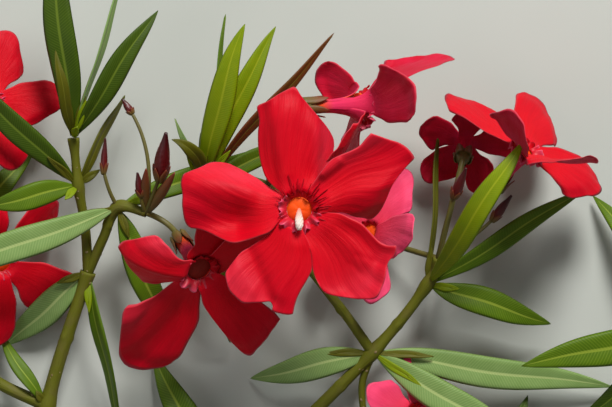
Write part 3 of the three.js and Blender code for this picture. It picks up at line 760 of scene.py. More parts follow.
@dataclass(frozen=True)
class LeafFinish(Surface):
    """Leaf skin: a ground colour, a paler midrib, fine side veins and patches.

    U runs from -1 to 1 across the blade and V in widths along it.
    """

    ground: Coords = colour(60, 95, 15)
    rib: Coords = colour(150, 165, 80)
    patch: Coords = colour(80, 105, 20)
    rib_edges: Coords = (0.14, 0.05)
    rib_share: float = 0.8
    side_lean: float = 0.35
    side_count: float = 34.0
    side_sharpness: float = 6.0
    side_share: float = 0.25
    patch_scale: float = 220.0
    patch_share: float = 0.5

    def paint(self, nodes: Nodes) -> tuple[Socket, Socket]:
        """Gives the colour, and the height of the patches between the side veins.

        Args:
            nodes: the nodes of the material.

        Returns:
            The colour and the height of the relief.
        """
        apart = nodes.add("ShaderNodeSeparateXYZ", {0: nodes.places()}).outputs
        aside = nodes.maths("ABSOLUTE", apart[0])
        rib = nodes.stretched(aside, *self.rib_edges, interpolation_type="SMOOTHSTEP")
        leaning = nodes.maths("SUBTRACT", apart[1], nodes.times(aside, self.side_lean))
        waves = nodes.maths("ABSOLUTE", nodes.maths("SINE", nodes.times(leaning, self.side_count)))
        sides = nodes.maths("POWER", waves, self.side_sharpness)
        patches = nodes.mottle(self.patch_scale)
        toned = nodes.laid(self.ground, self.patch, patches, self.patch_share)
        veined = nodes.laid(toned, self.rib, sides, self.side_share)
        return nodes.laid(veined, self.rib, rib, self.rib_share), nodes.maths("SUBTRACT", patches, sides)


@dataclass(frozen=True)
class BarkFinish(Surface):
    """Young bark: green where the shoot is thin, brown and cracked lengthwise where it is old.

    U runs round the shoot and V along it, in millimetres.
    """

    young: Coords = colour(98, 100, 16)
    old: Coords = colour(104, 84, 56)
    crack: Coords = colour(58, 44, 26)
    crack_grain: Coords = (2.2, 0.22)
    crack_shares: Coords = (0.15, 0.5)
    patch_scale: float = 260.0
    patch_share: float = 0.5
    relief: float = 0.15
    relief_strength: float = 0.7

    def paint(self, nodes: Nodes) -> tuple[Socket, Socket]:
        """Gives the colour by the age that the mesh carries, and the depth of the cracks.

        Args:
            nodes: the nodes of the material.

        Returns:
            The colour and the height of the relief.
        """
        age = nodes.attribute("age")
        cracks = nodes.veins(*self.crack_grain)
        patches = nodes.times(nodes.maths("SUBTRACT", nodes.mottle(self.patch_scale), 0.5), self.patch_share)
        aged = nodes.out("ShaderNodeClamp", {0: nodes.maths("ADD", age, patches)})
        ground = nodes.mixed(aged, self.young, self.old)
        least, more = self.crack_shares
        share = nodes.maths("ADD", nodes.times(age, more), least)
        return nodes.laid(ground, self.crack, cracks, share), nodes.times(cracks, -1.0)


@dataclass(frozen=True)
class TissueFinish(Surface):
    """Smooth tissue of two colours that go over along the piece, with fine streaks."""

    foot: Coords = colour(90, 90, 30)
    tip: Coords = colour(120, 50, 20)
    streak: Coords = colour(60, 20, 10)
    streak_share: float = 0.3
    streak_grain: Coords = (4.0, 0.4)

    def paint(self, nodes: Nodes) -> tuple[Socket, Socket]:
        """Gives the colour, and the height of the streaks.

        Args:
            nodes: the nodes of the material.

        Returns:
            The colour and the height of the relief.
        """
        streaks = nodes.veins(*self.streak_grain)
        ground = nodes.mixed(nodes.attribute("reach"), self.foot, self.tip)
        return nodes.laid(ground, self.streak, streaks, self.streak_share), streaks


@dataclass(frozen=True)
class SpeckFinish(Surface):
    """Two tones that go over in soft patches."""

    ground: Coords = colour(150, 130, 90)
    patch: Coords = colour(110, 90, 60)
    scale: float = 900.0

    def paint(self, nodes: Nodes) -> tuple[Socket, Socket]:
        """Gives the colour, and the height of the patches."""
        patches = nodes.mottle(self.scale)
        return nodes.mixed(patches, self.ground, self.patch), patches


class Tint(Enum):
    """The greens of the leaves: ground, patches and midrib of the upper side."""

    BRIGHT = (colour(122, 140, 0), colour(98, 126, 0), colour(150, 160, 24))
    MID = (colour(80, 108, 6), colour(62, 92, 6), colour(140, 156, 50))
    DARK = (colour(58, 80, 6), colour(46, 66, 6), colour(104, 122, 34))
    PALE = (colour(120, 148, 82), colour(104, 134, 66), colour(172, 188, 118))
    OLIVE = (colour(86, 84, 6), colour(72, 76, 6), colour(120, 120, 36))
    RUSSET = (colour(104, 40, 20), colour(84, 64, 10), colour(124, 118, 40))

    def finish(self, side: str) -> str:
        """Names the finish of one side of a leaf of this tint."""
        return f"leaf_{self.name.lower()}_{side}"


@dataclass
class Shoot:
    """One smooth limb that thins from its first point to its last.

    Each rib has a count round the limb and a share of the radius, and each wart wave a count of radians
    for each millimetre along the limb and a count round it.
    """

    name: str
    radii: tuple[float, float]
    points: list[Coords]
    whorl_joints: tuple[int, ...] = ()
    sides: int = 24
    least_steps: int = 8
    ring_step: float = 0.6
    swell: float = 0.5
    swell_width: float = 3.0
    oldest: float = 3.4
    youngest: float = 1.4
    aged: float = 0.0
    aged_run: float = 26.0
    ribs: Rows = ((3, 0.02), (7, 0.012))
    rib_drift: float = 9.0
    warts: Rows = ((1.9, 4), (0.7, -3))
    wart_share: float = 0.02
    scar_start: float = 14.0
    scar_end: float = 8.0
    scar_step: float = 21.0
    scar_lobes: int = 3
    scar_height: float = 0.28
    scar_length: float = 0.9
    scar_angle: float = 0.5

    def __post_init__(self) -> None:
        """Lays out the middle line."""
        self.samples = smooth_line(self.points)
        self.line = Line(self.samples)

    def joint_run(self, joint: int) -> float:
        """Gives the distance run at one of the points."""
        return float(self.line.run[joint * CURVE_SAMPLES])

    def roughened(self, run: Array, age: Array) -> Array:
        """Gives the factor by which ribs, and warts on the old part, change the radius.

        Args:
            run: the distance run at each ring, as a column.
            age: how old the bark is there, as a column.

        Returns:
            The factor at each ring and side.
        """
        angles = circle(self.sides)[None, :]
        (few, high), (many, low) = self.ribs
        ribs = np.cos(few * angles) * high + np.cos(many * angles + run / self.rib_drift) * low
        first, second = [np.sin(run * along + around_it * angles) for along, around_it in self.warts]
        return 1 + ribs + age * self.wart_share * (first * second)

    def add_scars(self, radii: Array, run: Array) -> None:
        """Raises the leaf scars, in threes round the limb, on its radii.

        Args:
            radii: the radius at each ring and side, which this changes.
            run: the distance run at each ring.
        """
        for scar in np.arange(self.scar_start, self.line.length - self.scar_end, self.scar_step):
            turn = FULL_TURN * dealt(scar + self.radii[0])
            for lobe in range(self.scar_lobes):
                heading = turn + lobe * FULL_TURN / self.scar_lobes
                off = np.abs((circle(self.sides) - heading + math.pi) % FULL_TURN - math.pi)
                ridge = self.scar_height * hump(run - scar, self.scar_length)[:, None]
                radii += ridge * hump(off, self.scar_angle)[None, :]

    def add_to(self, shape: Shape) -> None:
        """Adds the limb, with its ribs, warts, whorl swellings and leaf scars.

        Args:
            shape: what it is added to.
        """
        steps = max(self.least_steps, round(self.line.length / self.ring_step))
        run = np.linspace(0, self.line.length, steps + 1)
        thick = mix(self.radii[0], self.radii[1], run / self.line.length)
        age = eased(self.youngest, self.oldest, thick + self.aged * hump(run, self.aged_run))[:, None]
        radii = np.repeat(thick[:, None], self.sides, axis=1)
        for joint in self.whorl_joints:
            radii += self.swell * hump(run - self.joint_run(joint), self.swell_width)[:, None]
        radii = radii * self.roughened(run[:, None], age)
        self.add_scars(radii, run)
        shape.add_tube(self.line.at(run), radii, self.sides, age=age, reach=NOUGHT)


@dataclass(frozen=True)
class Outline:
    """The edges of a petal, along and across it: both sides from the mouth to a corner, and the margin."""

    clockwise: Rows
    margin: Rows
    anticlockwise: Rows


PLAIN = Outline(
    clockwise=((8.5, -4.6), (11.6, -7), (14.4, -8.3)),
    margin=((16, -8.4), (18.4, -7.3), (22.4, -4.6), (26.2, -2.2), (28, 0.2), (28.1, 2.6), (27, 5.2),
            (25.2, 7.4)),
    anticlockwise=((8, 5.6), (11.3, 7.4), (16.9, 8.4), (20.4, 9.1), (22.9, 8.9)),
)
TOP = Outline(
    clockwise=((7.5, -6.3), (10.7, -8.5), (13.5, -9.3)),
    margin=((14.8, -9.5), (16.3, -9.3), (18.9, -8), (23, -5.1), (26.2, -2.8), (28.7, -1.3), (28.3, 0.5),
            (27.3, 2.8), (25.9, 5.4), (25, 7.8)),
    anticlockwise=((7.4, 6.9), (11, 8.1), (14.9, 8.5), (18.7, 8.3), (21.3, 7.8), (24.2, 8.1)),
)
UPPER_RIGHT = Outline(
    clockwise=((8.7, -4.4), (11.2, -6.5), (13.5, -7.9)),
    margin=((14.8, -8.7), (17.3, -7.8), (19.8, -5.7), (22.5, -3.1), (25.9, -1), (28.7, 0.3), (29.7, 0.9),
            (29.1, 3.4), (27.7, 5.5), (25.9, 7), (24.1, 8.6)),
    anticlockwise=((7.6, 5.9), (11.1, 7.8), (13.9, 8.1), (16.4, 8.1), (18.8, 8.4), (20.8, 9.4), (22.4, 10.1)),
)
LOWER_RIGHT = Outline(
    clockwise=((8.9, -4.3), (12.2, -6.4), (14.3, -7.4), (16.8, -8)),
    margin=((18.7, -8.2), (20.5, -7.2), (22.9, -5.2), (25.4, -2.9), (27.8, 0.2), (26.7, 3.1), (25.5, 5.1),
            (23.9, 6.8), (23.1, 8.2), (22.9, 10.3)),
    anticlockwise=((6.8, 6.5), (9.4, 7.8), (12.2, 9), (15.4, 9.2), (18.1, 9.4), (20, 10.3), (21.5, 11.8)),
)
LOWER_LEFT = Outline(
    clockwise=((7.8, -2.9), (10.7, -4), (13.6, -5.3), (16.1, -6.5), (19.9, -6.9)),
    margin=((21.8, -7), (23.1, -5.8), (24.6, -4.2), (25.2, -2.3), (25.6, 0), (24.6, 1.9), (23.4, 3.8),
            (22.3, 5.4), (22.3, 6.4), (23.7, 7.1), (23.3, 9.1), (22.5, 10.9)),
    anticlockwise=((6.6, 7.5), (10.1, 9.8), (12.6, 10.2), (16.5, 10.3), (19, 10.7), (21.8, 11.6)),
)
LEFT = Outline(
    clockwise=((6.1, -3), (8.9, -3.8), (12, -5), (14.9, -5.7), (17.4, -6.2)),
    margin=((19.9, -6.7), (23.3, -6.1), (25.3, -4.5), (27.6, -2.7), (28.8, -1.5), (28.7, 0.6), (27.8, 2.8),
            (27.2, 5.7), (26.4, 8.3), (25.6, 9.7)),
    anticlockwise=((5.3, 6.6), (7.6, 8.3), (10.4, 10), (13.2, 11.3), (15.6, 11.2), (18.9, 10.5), (21.7, 10.1),
                   (24.5, 10.3)),
)
STRAIGHT = Outline(
    clockwise=((8.6, -3.6), (12, -3.5), (16, -3.1), (20, -2.6)),
    margin=((23.4, -2), (25.8, -1.2), (26.8, 0), (26, 2.2), (24.8, 5), (23.2, 8)),
    anticlockwise=((8, 5.6), (11.3, 7.4), (15.5, 9), (19, 10.2), (21.8, 10.6)),
)


@dataclass(frozen=True)
class Fold:
    """A soft ridge, or a furrow where its height is negative, between two places of a petal.

    As a turned edge it is the line past which the petal rises or falls, and past which a pink painted sheen
    stands for the light on the turned part.
    """

    start: Coords
    end: Coords
    width: float
    height: float
    # How much pink painted sheen the turned edge lays on, and over what span
    painted_sheen: float = 0.0
    painted_sheen_span: Coords = (-0.6, 1.4)

    def ridge(self, blade: Array) -> Array:
        """Gives the height of the ridge at each place of a blade.

        Args:
            blade: places along and across the petal.

        Returns:
            The height at each place.
        """
        begin, end = np.array(self.start), np.array(self.end)
        run = end - begin
        share = np.clip(((blade - begin) @ run) / run.dot(run), 0, 1)
        off = np.linalg.norm(blade - (begin + share[..., None] * run), axis=-1)
        return self.height * hump(off, self.width)

    def turned(self, blade: Array) -> tuple[Array, Array]:
        """Gives the height of the turned edge and its painted sheen at each place of a blade.

        Args:
            blade: places along and across the petal.

        Returns:
            The height and the painted sheen at each place.
        """
        run = unit(np.array(self.end) - np.array(self.start))
        beyond = (blade - np.array(self.start)) @ np.array([run[1], -run[0]])
        height = self.height * eased(0, self.width, beyond) * np.maximum(beyond, 0) / self.width
        before, after = self.painted_sheen_span
        return height, self.painted_sheen * eased(before * self.width, after * self.width, beyond)


@dataclass(frozen=True)
class Petal:
    """One petal: its outline, its slopes at root and tip in degrees, its turned edges and its folds.

    The rolls raise the clockwise side, both ends of the margin and the anticlockwise side, in
    millimetres, and each turn lowers or raises what lies outside a line.
    """

    outline: Outline = PLAIN
    open: tuple[float, float] = (0, 0)
    rolls: tuple[float, float, float, float] = (-0.9, -1.4, -1.0, -0.7)
    roll_width: float = 2.8
    cup: float = 0.6
    ruffle: float = 0.3
    folds: tuple[Fold, ...] = ()
    turns: tuple[Fold, ...] = ()
    size: float = 1.0
    lean: float = 0.0


@dataclass
class Bloom:
    """A funnel-shaped bloom of five petals that overlap one way round.

    Each wave of its margin and of its skin has a count of half waves across a petal and a height.
    """

    name: str
    centre: Coords
    axis: Coords
    turn: float
    hub: Coords
    petals: tuple[Petal, ...]
    size: float = 1.0
    tube: float = 15.0
    rows: int = 40
    columns: int = 26
    tube_rows: int = 25
    edge_samples: int = 20
    evening: int = 24
    thickness: float = 0.3
    mouth: float = 5.0
    overlap: float = 6.0
    pitch: float = 0.1
    reach: float = 28.4
    clearance: float = 0.5
    margin_reach: float = 23.0
    margin_corners: Coords = (0.1, 0.9)
    root_share: float = 0.35
    cup_rest: float = 0.35
    margin_waves: Rows = ((3, 1.0), (7, 0.6), (13, 0.3))
    skin_waves: Rows = ((21, 0.035), (37, 0.02))
    skin_drift: float = 3.0
    seed_step: float = 7.0
    foot_profile: Rows = ((1.45, 1), (1.5, 0.6))
    throat_profile: Rows = ((1.8, -6.5), (2.5, -3.4), (3.7, -1.1))
    tube_overlap: float = 0.09
    tube_share: float = 0.3
    grown_by: float = 0.3
    tube_run: float = 0.6
    petal_apart: float = 1.7
    full: bool = False
    throat: str = "throat"
    skin: str = "petal_upper"

    def __post_init__(self) -> None:
        """Sets the bloom's frame: Z along its axis, Y as near the branch's Y as that allows."""
        ahead = unit(np.array(self.axis, dtype=float))
        up = np.array([0.0, 1.0, 0.0])
        up = unit(up - ahead * up.dot(ahead))
        self.frame = np.array([np.cross(up, ahead), up, ahead])
        self.half = math.radians(PETAL_ANGLE / 2 + self.overlap)

    def heading(self, number: float) -> float:
        """Gives the direction of a petal round the bloom, in radians."""
        return math.radians(self.turn + PETAL_ANGLE * number)

    def put(self, places: Array) -> Array:
        """Moves places from the bloom's frame to the branch's, and keeps them off the surface.

        Args:
            places: places in the bloom's frame.

        Returns:
            The places in the drawing frame.
        """
        moved = np.asarray(places) @ self.frame + np.array(self.centre)
        moved[..., 2] = np.maximum(moved[..., 2], self.clearance)
        return moved

    def blade(self, petal: Petal) -> Array:
        """Lays out a petal's blade between its four edges, rows by columns, along and across it.

        Args:
            petal: the petal.

        Returns:
            The places, along and across the petal.
        """
        low_corner = self.mouth * np.array([math.cos(self.half), -math.sin(self.half)])
        high_corner = low_corner * [1, -1]
        shape = petal.outline
        edges = [([low_corner, *shape.clockwise], self.rows),
                 ([high_corner, *shape.anticlockwise], self.rows),
                 ([shape.clockwise[-1], *shape.margin, shape.anticlockwise[-1]], self.columns)]
        low, high, margin = [
            Line(smooth_line(edge, self.edge_samples)).spread(count + 1) for edge, count in edges]
        angles = np.linspace(-self.half, self.half, self.columns + 1)
        root = self.mouth * np.stack([np.cos(angles), np.sin(angles)], axis=-1)
        u, v = [share[..., None] for share in lattice(self.rows + 1, self.columns + 1)]
        ruled = mix(low[:, None], high[:, None], u) + mix(root[None], margin[None], v)
        corners = mix(mix(root[:1], root[-1:], u), mix(margin[:1], margin[-1:], u), v)
        blade = ruled - corners
        for _ in range(self.evening):
            sides = blade[:-2, 1:-1] + blade[2:, 1:-1] + blade[1:-1, :-2] + blade[1:-1, 2:]
            blade[1:-1, 1:-1] = sides / 4
        return blade

    def heights(self, petal: Petal, blade: Array, number: int) -> Array:
        """Gives the height over a petal's blade of its rolled edges, cup, waves and folds.

        Args:
            petal: the petal.
            blade: its blade.
            number: its place round the bloom.

        Returns:
            The height at each place of the blade.
        """
        u, v = np.broadcast_arrays(*lattice(*blade.shape[:2]))
        wide = np.linalg.norm(blade[:, -1] - blade[:, 0], axis=-1)[:, None]
        start = eased(0, self.root_share, v)
        clockwise, first_end, last_end, anticlockwise = petal.rolls
        height = clockwise * hump(u * wide, petal.roll_width) * start
        height += anticlockwise * hump((1 - u) * wide, petal.roll_width) * start
        margin = mix(first_end, last_end, eased(*self.margin_corners, u))
        height += margin * hump((1 - v) * self.margin_reach, petal.roll_width)
        height += petal.cup * ((2 * u - 1) ** 2 - self.cup_rest) * start
        seed = self.seed_step * number + self.turn
        for count, strength in self.margin_waves:
            phase = FULL_TURN * dealt(seed + count)
            height += petal.ruffle * strength * np.sin(math.pi * count * u + phase) * v**3
        for count, strength in self.skin_waves:
            phase = FULL_TURN * dealt(seed + count)
            skin = strength * np.sin(math.pi * count * u + phase + self.skin_drift * v)
            height += skin * np.sin(math.pi * v)
        for crease in petal.folds:
            height += crease.ridge(blade)
        return height

    def bent(self, petal: Petal, blade: Array, height: Array) -> Array:
        """Bends a blade and its heights along the petal's slopes: outwards, across and up.

        Args:
            petal: the petal.
            blade: its blade.
            height: the heights over it.

        Returns:
            The surface, with X outwards from the bloom's axis and Z along it.
        """
        along, across = blade[..., 0], blade[..., 1]
        first = math.radians(petal.open[0])
        bend = (math.radians(petal.open[1] - petal.open[0]) or LEAST_BEND) / self.reach
        slope = first + bend * along
        outward = (np.sin(slope) - np.sin(first)) / bend - np.sin(slope) * height
        rise = (np.cos(first) - np.cos(slope)) / bend + np.cos(slope) * height + self.pitch * across
        return np.stack([outward, across, rise], axis=-1)

    def tube_part(self, edge: Array) -> Array:
        """Shapes a petal's part of the tube, which rises to meet the root of its blade.

        Args:
            edge: the first row of the bent blade.

        Returns:
            The surface, from foot to mouth.
        """
        foot = [(radius, -share * self.tube) for radius, share in self.foot_profile]
        profile = [*foot, *self.throat_profile, (self.mouth, 0)]
        funnel = Line(smooth_line(profile, self.edge_samples)).spread(self.tube_rows + 1)[:-1]
        angles = np.linspace(-1, 1, len(edge)) * self.half
        share = eased(0.5, 1, even(len(funnel)))[:, None]
        radius = funnel[:, :1] + self.tube_overlap * (angles / abs(angles[0]))[None, :]
        lower = around(radius, angles, funnel[:, 1:] + share * edge[:, 2][None, :])
        lower[..., 0] += share * (edge[:, 0] - self.mouth * np.cos(angles))[None, :]
        return lower

    def with_tube(self, first: float, last: float, blade_values: Array) -> Array:
        """Puts rows of values for the tube, from first to last, before those of a blade."""
        low = np.linspace(first, last, self.tube_rows, endpoint=False)[:, None]
        return np.concatenate([low * np.ones((1, blade_values.shape[1])), blade_values])

    def petal_sheet(self, petal: Petal, number: int) -> tuple[Array, Array, dict[str, Array]]:
        """Shapes one petal from the foot of the tube to its margin.

        Args:
            petal: the petal.
            number: its place round the bloom.

        Returns:
            The middle surface in the bloom's frame, the texture places, and the reach from foot to
            margin with the pink painted sheen of the turned edges.
        """
        blade = self.blade(petal)
        u, v = np.broadcast_arrays(*lattice(*blade.shape[:2]))
        height = self.heights(petal, blade, number)
        # The turned edges also lay on the pink painted sheen
        painted_sheen = np.zeros_like(height)
        for turn in petal.turns:
            turned, sheen_pink = turn.turned(blade)
            height += turned
            painted_sheen = np.maximum(painted_sheen, sheen_pink)
        grown = eased(0, self.grown_by, v)
        upper = self.bent(petal, blade, height)
        upper = mix(upper, upper * petal.size, grown[..., None])
        x, y, z = np.moveaxis(np.concatenate([self.tube_part(upper[0]), upper]) * self.size, -1, 0)
        leaning = petal.lean * self.with_tube(0, 0, grown)[:, :1]
        heading = np.radians(self.turn + PETAL_ANGLE * number + leaning)
        cos, sin = np.cos(heading), np.sin(heading)
        sheet = np.stack([x * cos - y * sin, x * sin + y * cos, z], axis=-1)
        across = np.concatenate([u[: self.tube_rows], u]) + self.petal_apart * number
        places = np.stack([across, self.with_tube(-self.tube_run, 0, v)], axis=-1)
        reach = self.with_tube(0, self.tube_share, mix(self.tube_share, 1, v))
        return sheet, places, {"reach": reach, "painted_sheen": self.with_tube(0, 0, painted_sheen)}

    def build(self) -> Piece:
        """Builds the five petals with their shares of the tube.

        Returns:
            The finished object.
        """
        shape = Shape(f"{self.name}_petals")
        for number, petal in enumerate(self.petals):
            sheet, places, values = self.petal_sheet(petal, number)
            # Painted highlight: a pale rim along both sides and the margin of each petal
            rim = np.zeros(sheet.shape[:2])
            rim[:, [0, -1]] = rim[-1] = 1
            shape.add_sheet(self.put(sheet), self.thickness, places, upper=0, under=1, rim=rim, **values)
        return shape.make([self.skin, "petal_under"], [f"{self.name}_corolla"])


@dataclass
class Calyx:
    """The cup of five sepals round the foot of a bloom's tube, and the bloom's stalk.

    Each ring of the cup has a height over the tube's foot and a radius.
    """

    bloom: Bloom
    cup: Rows = ((-2.4, 0.8), (-1.6, 1.5), (-0.8, 2.0), (0, 2.1), (1, 1.9))
    cup_rings: int = 13
    cup_sides: int = 20
    rows: int = 17
    columns: int = 9
    thickness: float = 0.3
    length: float = 5.2
    least_length: float = 1.2
    half: float = 1.3
    lance: Lance = Lance(0.18, 0.82, 0.8, 0.9)
    point: float = 0.06
    root: float = -1.4
    radius: float = 2.2
    leaning: float = 0.15
    curling: float = 0.35
    hollow: float = 0.12
    stalk_radius: float = 0.72
    stalk_steps: int = 33
    stalk_sides: int = 12
    stalk_end: float = 1.6
    stalk_way: float = 9.0
    stalk_lowest: float = 2.0

    def add_sepals(self, shape: Shape, foot: float) -> None:
        """Adds the sepals, from a height a little under the tube's foot.

        Args:
            shape: what they are added to.
            foot: the height of the tube's foot.
        """
        u, v = lattice(self.rows, self.columns, -1)
        length = self.length * self.bloom.size + self.least_length
        half = self.half * self.lance.widths(v) + self.point
        radius = self.radius + self.leaning * v + self.curling * v**3 - self.hollow * (u * half) ** 2
        for number in range(PETAL_COUNT):
            heading = self.bloom.heading(number + 0.5) + u * half / self.radius
            sheet = around(radius, heading, foot + self.root + length * v)
            shape.add_sheet(self.bloom.put(sheet), self.thickness, paired(u * half, v * length), reach=v)

    def build(self) -> Piece:
        """Builds the cup, the sepals and the stalk.

        Returns:
            The finished object.
        """
        bloom = self.bloom
        shape = Shape(f"{bloom.name}_sepals")
        foot = -bloom.tube * bloom.size
        cup = Line(smooth_line([(0, 0, foot + height) for height, _ in self.cup])).spread(self.cup_rings)
        shares = even(self.cup_rings)
        radii = np.interp(shares, even(len(self.cup)), [radius for _, radius in self.cup])
        shape.add_tube(bloom.put(cup), radii, self.cup_sides, reach=NOUGHT)
        self.add_sepals(shape, foot)
        end = bloom.put([[0, 0, foot - self.stalk_end]])[0]
        way = bloom.put([[0, 0, foot - self.stalk_way * bloom.size]])[0]
        way[2] = max(way[2], self.stalk_lowest)
        stalk = quadratic(np.array(bloom.hub), way, end, even(self.stalk_steps))
        radii = np.full(self.stalk_steps, self.stalk_radius)
        shape.add_tube(stalk, radii, self.stalk_sides, reach=NOUGHT)
        return shape.make(["calyx"], [f"{bloom.name}_calyx"])


@dataclass
class Crown:
    """The ragged lobes of the crown round a bloom's mouth, and the hairy floor of its throat.

    Its pairs hold for a lobe that stands up on the near side and for one that lies flat on the far
    side. Each wave has a count of radians across a lobe and a size.
    """

    bloom: Bloom
    rows: int = 15
    columns: int = 41
    thickness: float = 0.14
    far_side: Coords = (-0.3, 0.7)
    dark_from: float = 0.3
    tip_sharpness: int = 4
    length: Coords = (3.5, 2.0)
    narrow: Coords = (0.85, 0.6)
    lean: Coords = (68, 14)
    upright: float = 0.8
    spread: Coords = (1.4, 1.24)
    arch: Coords = (0.3, 1.3)
    tilt: Coords = (0.5, 0.0)
    tooth_floor: float = 0.66
    teeth: Rows = ((2.2, 0.22), (5.3, 0.16))
    lean_wave: Coords = (17, 0.45)
    side_wave: Coords = (9, 0.05)
    radius_wave: Coords = (15, 0.35)
    lift_wave: Coords = (23, 0.22)
    radius: float = 2.9
    lift: float = -0.9
    grain: float = 3.0
    throat_radii: Coords = (0.02, 3.05)
    throat_rings: int = 17
    throat_sides: int = 48
    throat_lift: float = -0.72
    throat_bulge: float = 0.12
    throat_fall: float = 0.5
    throat_hairs: Coords = (23, 0.1)
    throat_base: float = -2.0
    throat_grain: float = 20.0
    # Painted shade of the dome: its middle share and how much darker the near side gets
    painted_shade: Coords = (0.45, 0.75)

    def lobe(self, number: int) -> tuple[Array, Array]:
        """Shapes one ragged lobe.

        Args:
            number: the petal that the lobe stands at.

        Returns:
            The middle surface in the bloom's frame, and the texture places.
        """
        u, v = lattice(self.rows, self.columns)
        heading = self.bloom.heading(number)
        flat = float(eased(*self.far_side, np.array(math.sin(heading))))
        pairs = (self.length, self.narrow, self.lean, self.spread, self.arch, self.tilt)
        length, narrow, lean, spread, arch, tilt = [mix(*pair, flat) for pair in pairs]
        (few, coarse), (many, fine) = self.teeth
        ragged = self.tooth_floor + coarse * zigzag(few * u + dealt(number))
        ragged = ragged + fine * zigzag(many * u + dealt(number + 0.5))
        length = length * (ragged * mix(narrow, 1.0, np.sin(math.pi * u) ** 0.5)) * v
        leaning = np.radians(lean) * (1 - self.upright * v * (1 - flat)) + wave(self.lean_wave, u, number) * v
        angle = heading + (u - 0.5) * spread + wave(self.side_wave, u, number) * v
        radius = self.radius + length * np.cos(leaning) + wave(self.radius_wave, u, 2 * number) * v
        lift = self.lift + length * np.sin(leaning) + arch * v + tilt * (u - 0.5)
        lift = lift + wave(self.lift_wave, u, number) * v**2
        return around(radius, angle, lift) * self.bloom.size, paired(u * self.grain, v * self.grain)

    def add_throat(self, shape: Shape) -> None:
        """Adds the low dome that closes the throat, with painted shade that darkens it towards the near side.

        Args:
            shape: what it is added to.
        """
        radii = np.linspace(*self.throat_radii, self.throat_rings)[:, None]
        outwards = radii / self.throat_radii[1]
        angles = np.linspace(0, FULL_TURN, self.throat_sides + 1)[None, :-1]
        bulge = np.abs(np.cos(PETAL_COUNT / 2 * (angles - math.radians(self.bloom.turn))))
        bulge = self.throat_bulge * bulge * np.sin(math.pi * radii / self.throat_radii[1])
        height = self.throat_lift + bulge - self.throat_fall * outwards**2
        height = height + wave(self.throat_hairs, angles) * outwards
        dome = around(radii, angles, height) * self.bloom.size
        base = around(radii, angles, self.throat_base) * self.bloom.size
        rings = np.concatenate([dome, base[::-1]])
        places = np.zeros((len(rings), self.throat_sides + 1, 2))
        places[..., 0] = np.linspace(0, self.throat_grain, self.throat_sides + 1)[None, :]
        # Painted shade: the colour goes darker towards the near side
        middle, painted_shade = self.painted_shade
        low = np.clip(middle - painted_shade * np.sin(angles) * radii / self.throat_radii[1], 0, 1) * outwards
        shape.add_skin(self.bloom.put(rings), places, 1, reach=np.concatenate([low, np.ones_like(low)]))

    def build(self) -> Piece:
        """Builds the lobes, the far ones dark, and the floor of the throat.

        Returns:
            The finished object.
        """
        shape = Shape(f"{self.bloom.name}_crown")
        reach = even(self.rows)[:, None] ** self.tip_sharpness
        for number in range(PETAL_COUNT):
            sheet, places = self.lobe(number)
            side = 2 if math.sin(self.bloom.heading(number)) > self.dark_from else 0
            shape.add_sheet(self.bloom.put(sheet), self.thickness, places, side, side, reach=reach)
        self.add_throat(shape)
        return shape.make(["crown", self.bloom.throat, "dark_crown"], [])


@dataclass
class Anthers:
    """Five hairy anthers twisted into a cone that leans out of the mouth of the main bloom.

    Each hair wave has a count of radians along a strand, a size and a step from strand to strand.
    """

    centre: Coords
    line: Rows = ((0, 0.3, -1.2), (0, -1.0, 0.6), (0, -3.2, 2.0), (0, -4.8, 2.3))
    girth: tuple[float, ...] = (0.3, 0.42, 0.55, 0.7, 0.86, 1.0, 1.0, 0.9, 0.45)
    turns: float = 0.9
    strands: int = 7
    sides: int = 10
    steps: int = 64
    ring_share: float = 0.58
    strand_share: float = 0.42
    end_spread: float = 0.09
    end_length: float = 0.08
    end_least: float = 0.15
    hairs: Rows = ((26, 0.1, 2.4), (61, 0.07, 1))

    def build(self) -> Piece:
        """Builds the twisted strands.

        Returns:
            The finished object.
        """
        shape = Shape("main_bloom_anther_cone")
        path = Line(smooth_line(self.line)).spread(self.steps) + np.array(self.centre)
        share = even(self.steps)
        wide = np.interp(share, even(len(self.girth)), self.girth)
        rings = sections(path, self.ring_share * wide, self.strands, FULL_TURN * self.turns)
        for strand in range(self.strands):
            left = 1 + self.end_spread * dealt(strand) - share
            ends = np.clip(left / self.end_length, self.end_least, 1)
            rough = 1
            for count, size, step in self.hairs:
                rough = rough + wave((count, size), share, step * strand)
            radii = self.strand_share * wide * rough * ends
            shape.add_tube(rings[:, strand], radii, self.sides, reach=share[:, None])
        return shape.make(["anther"], ["main_bloom_anthers"])


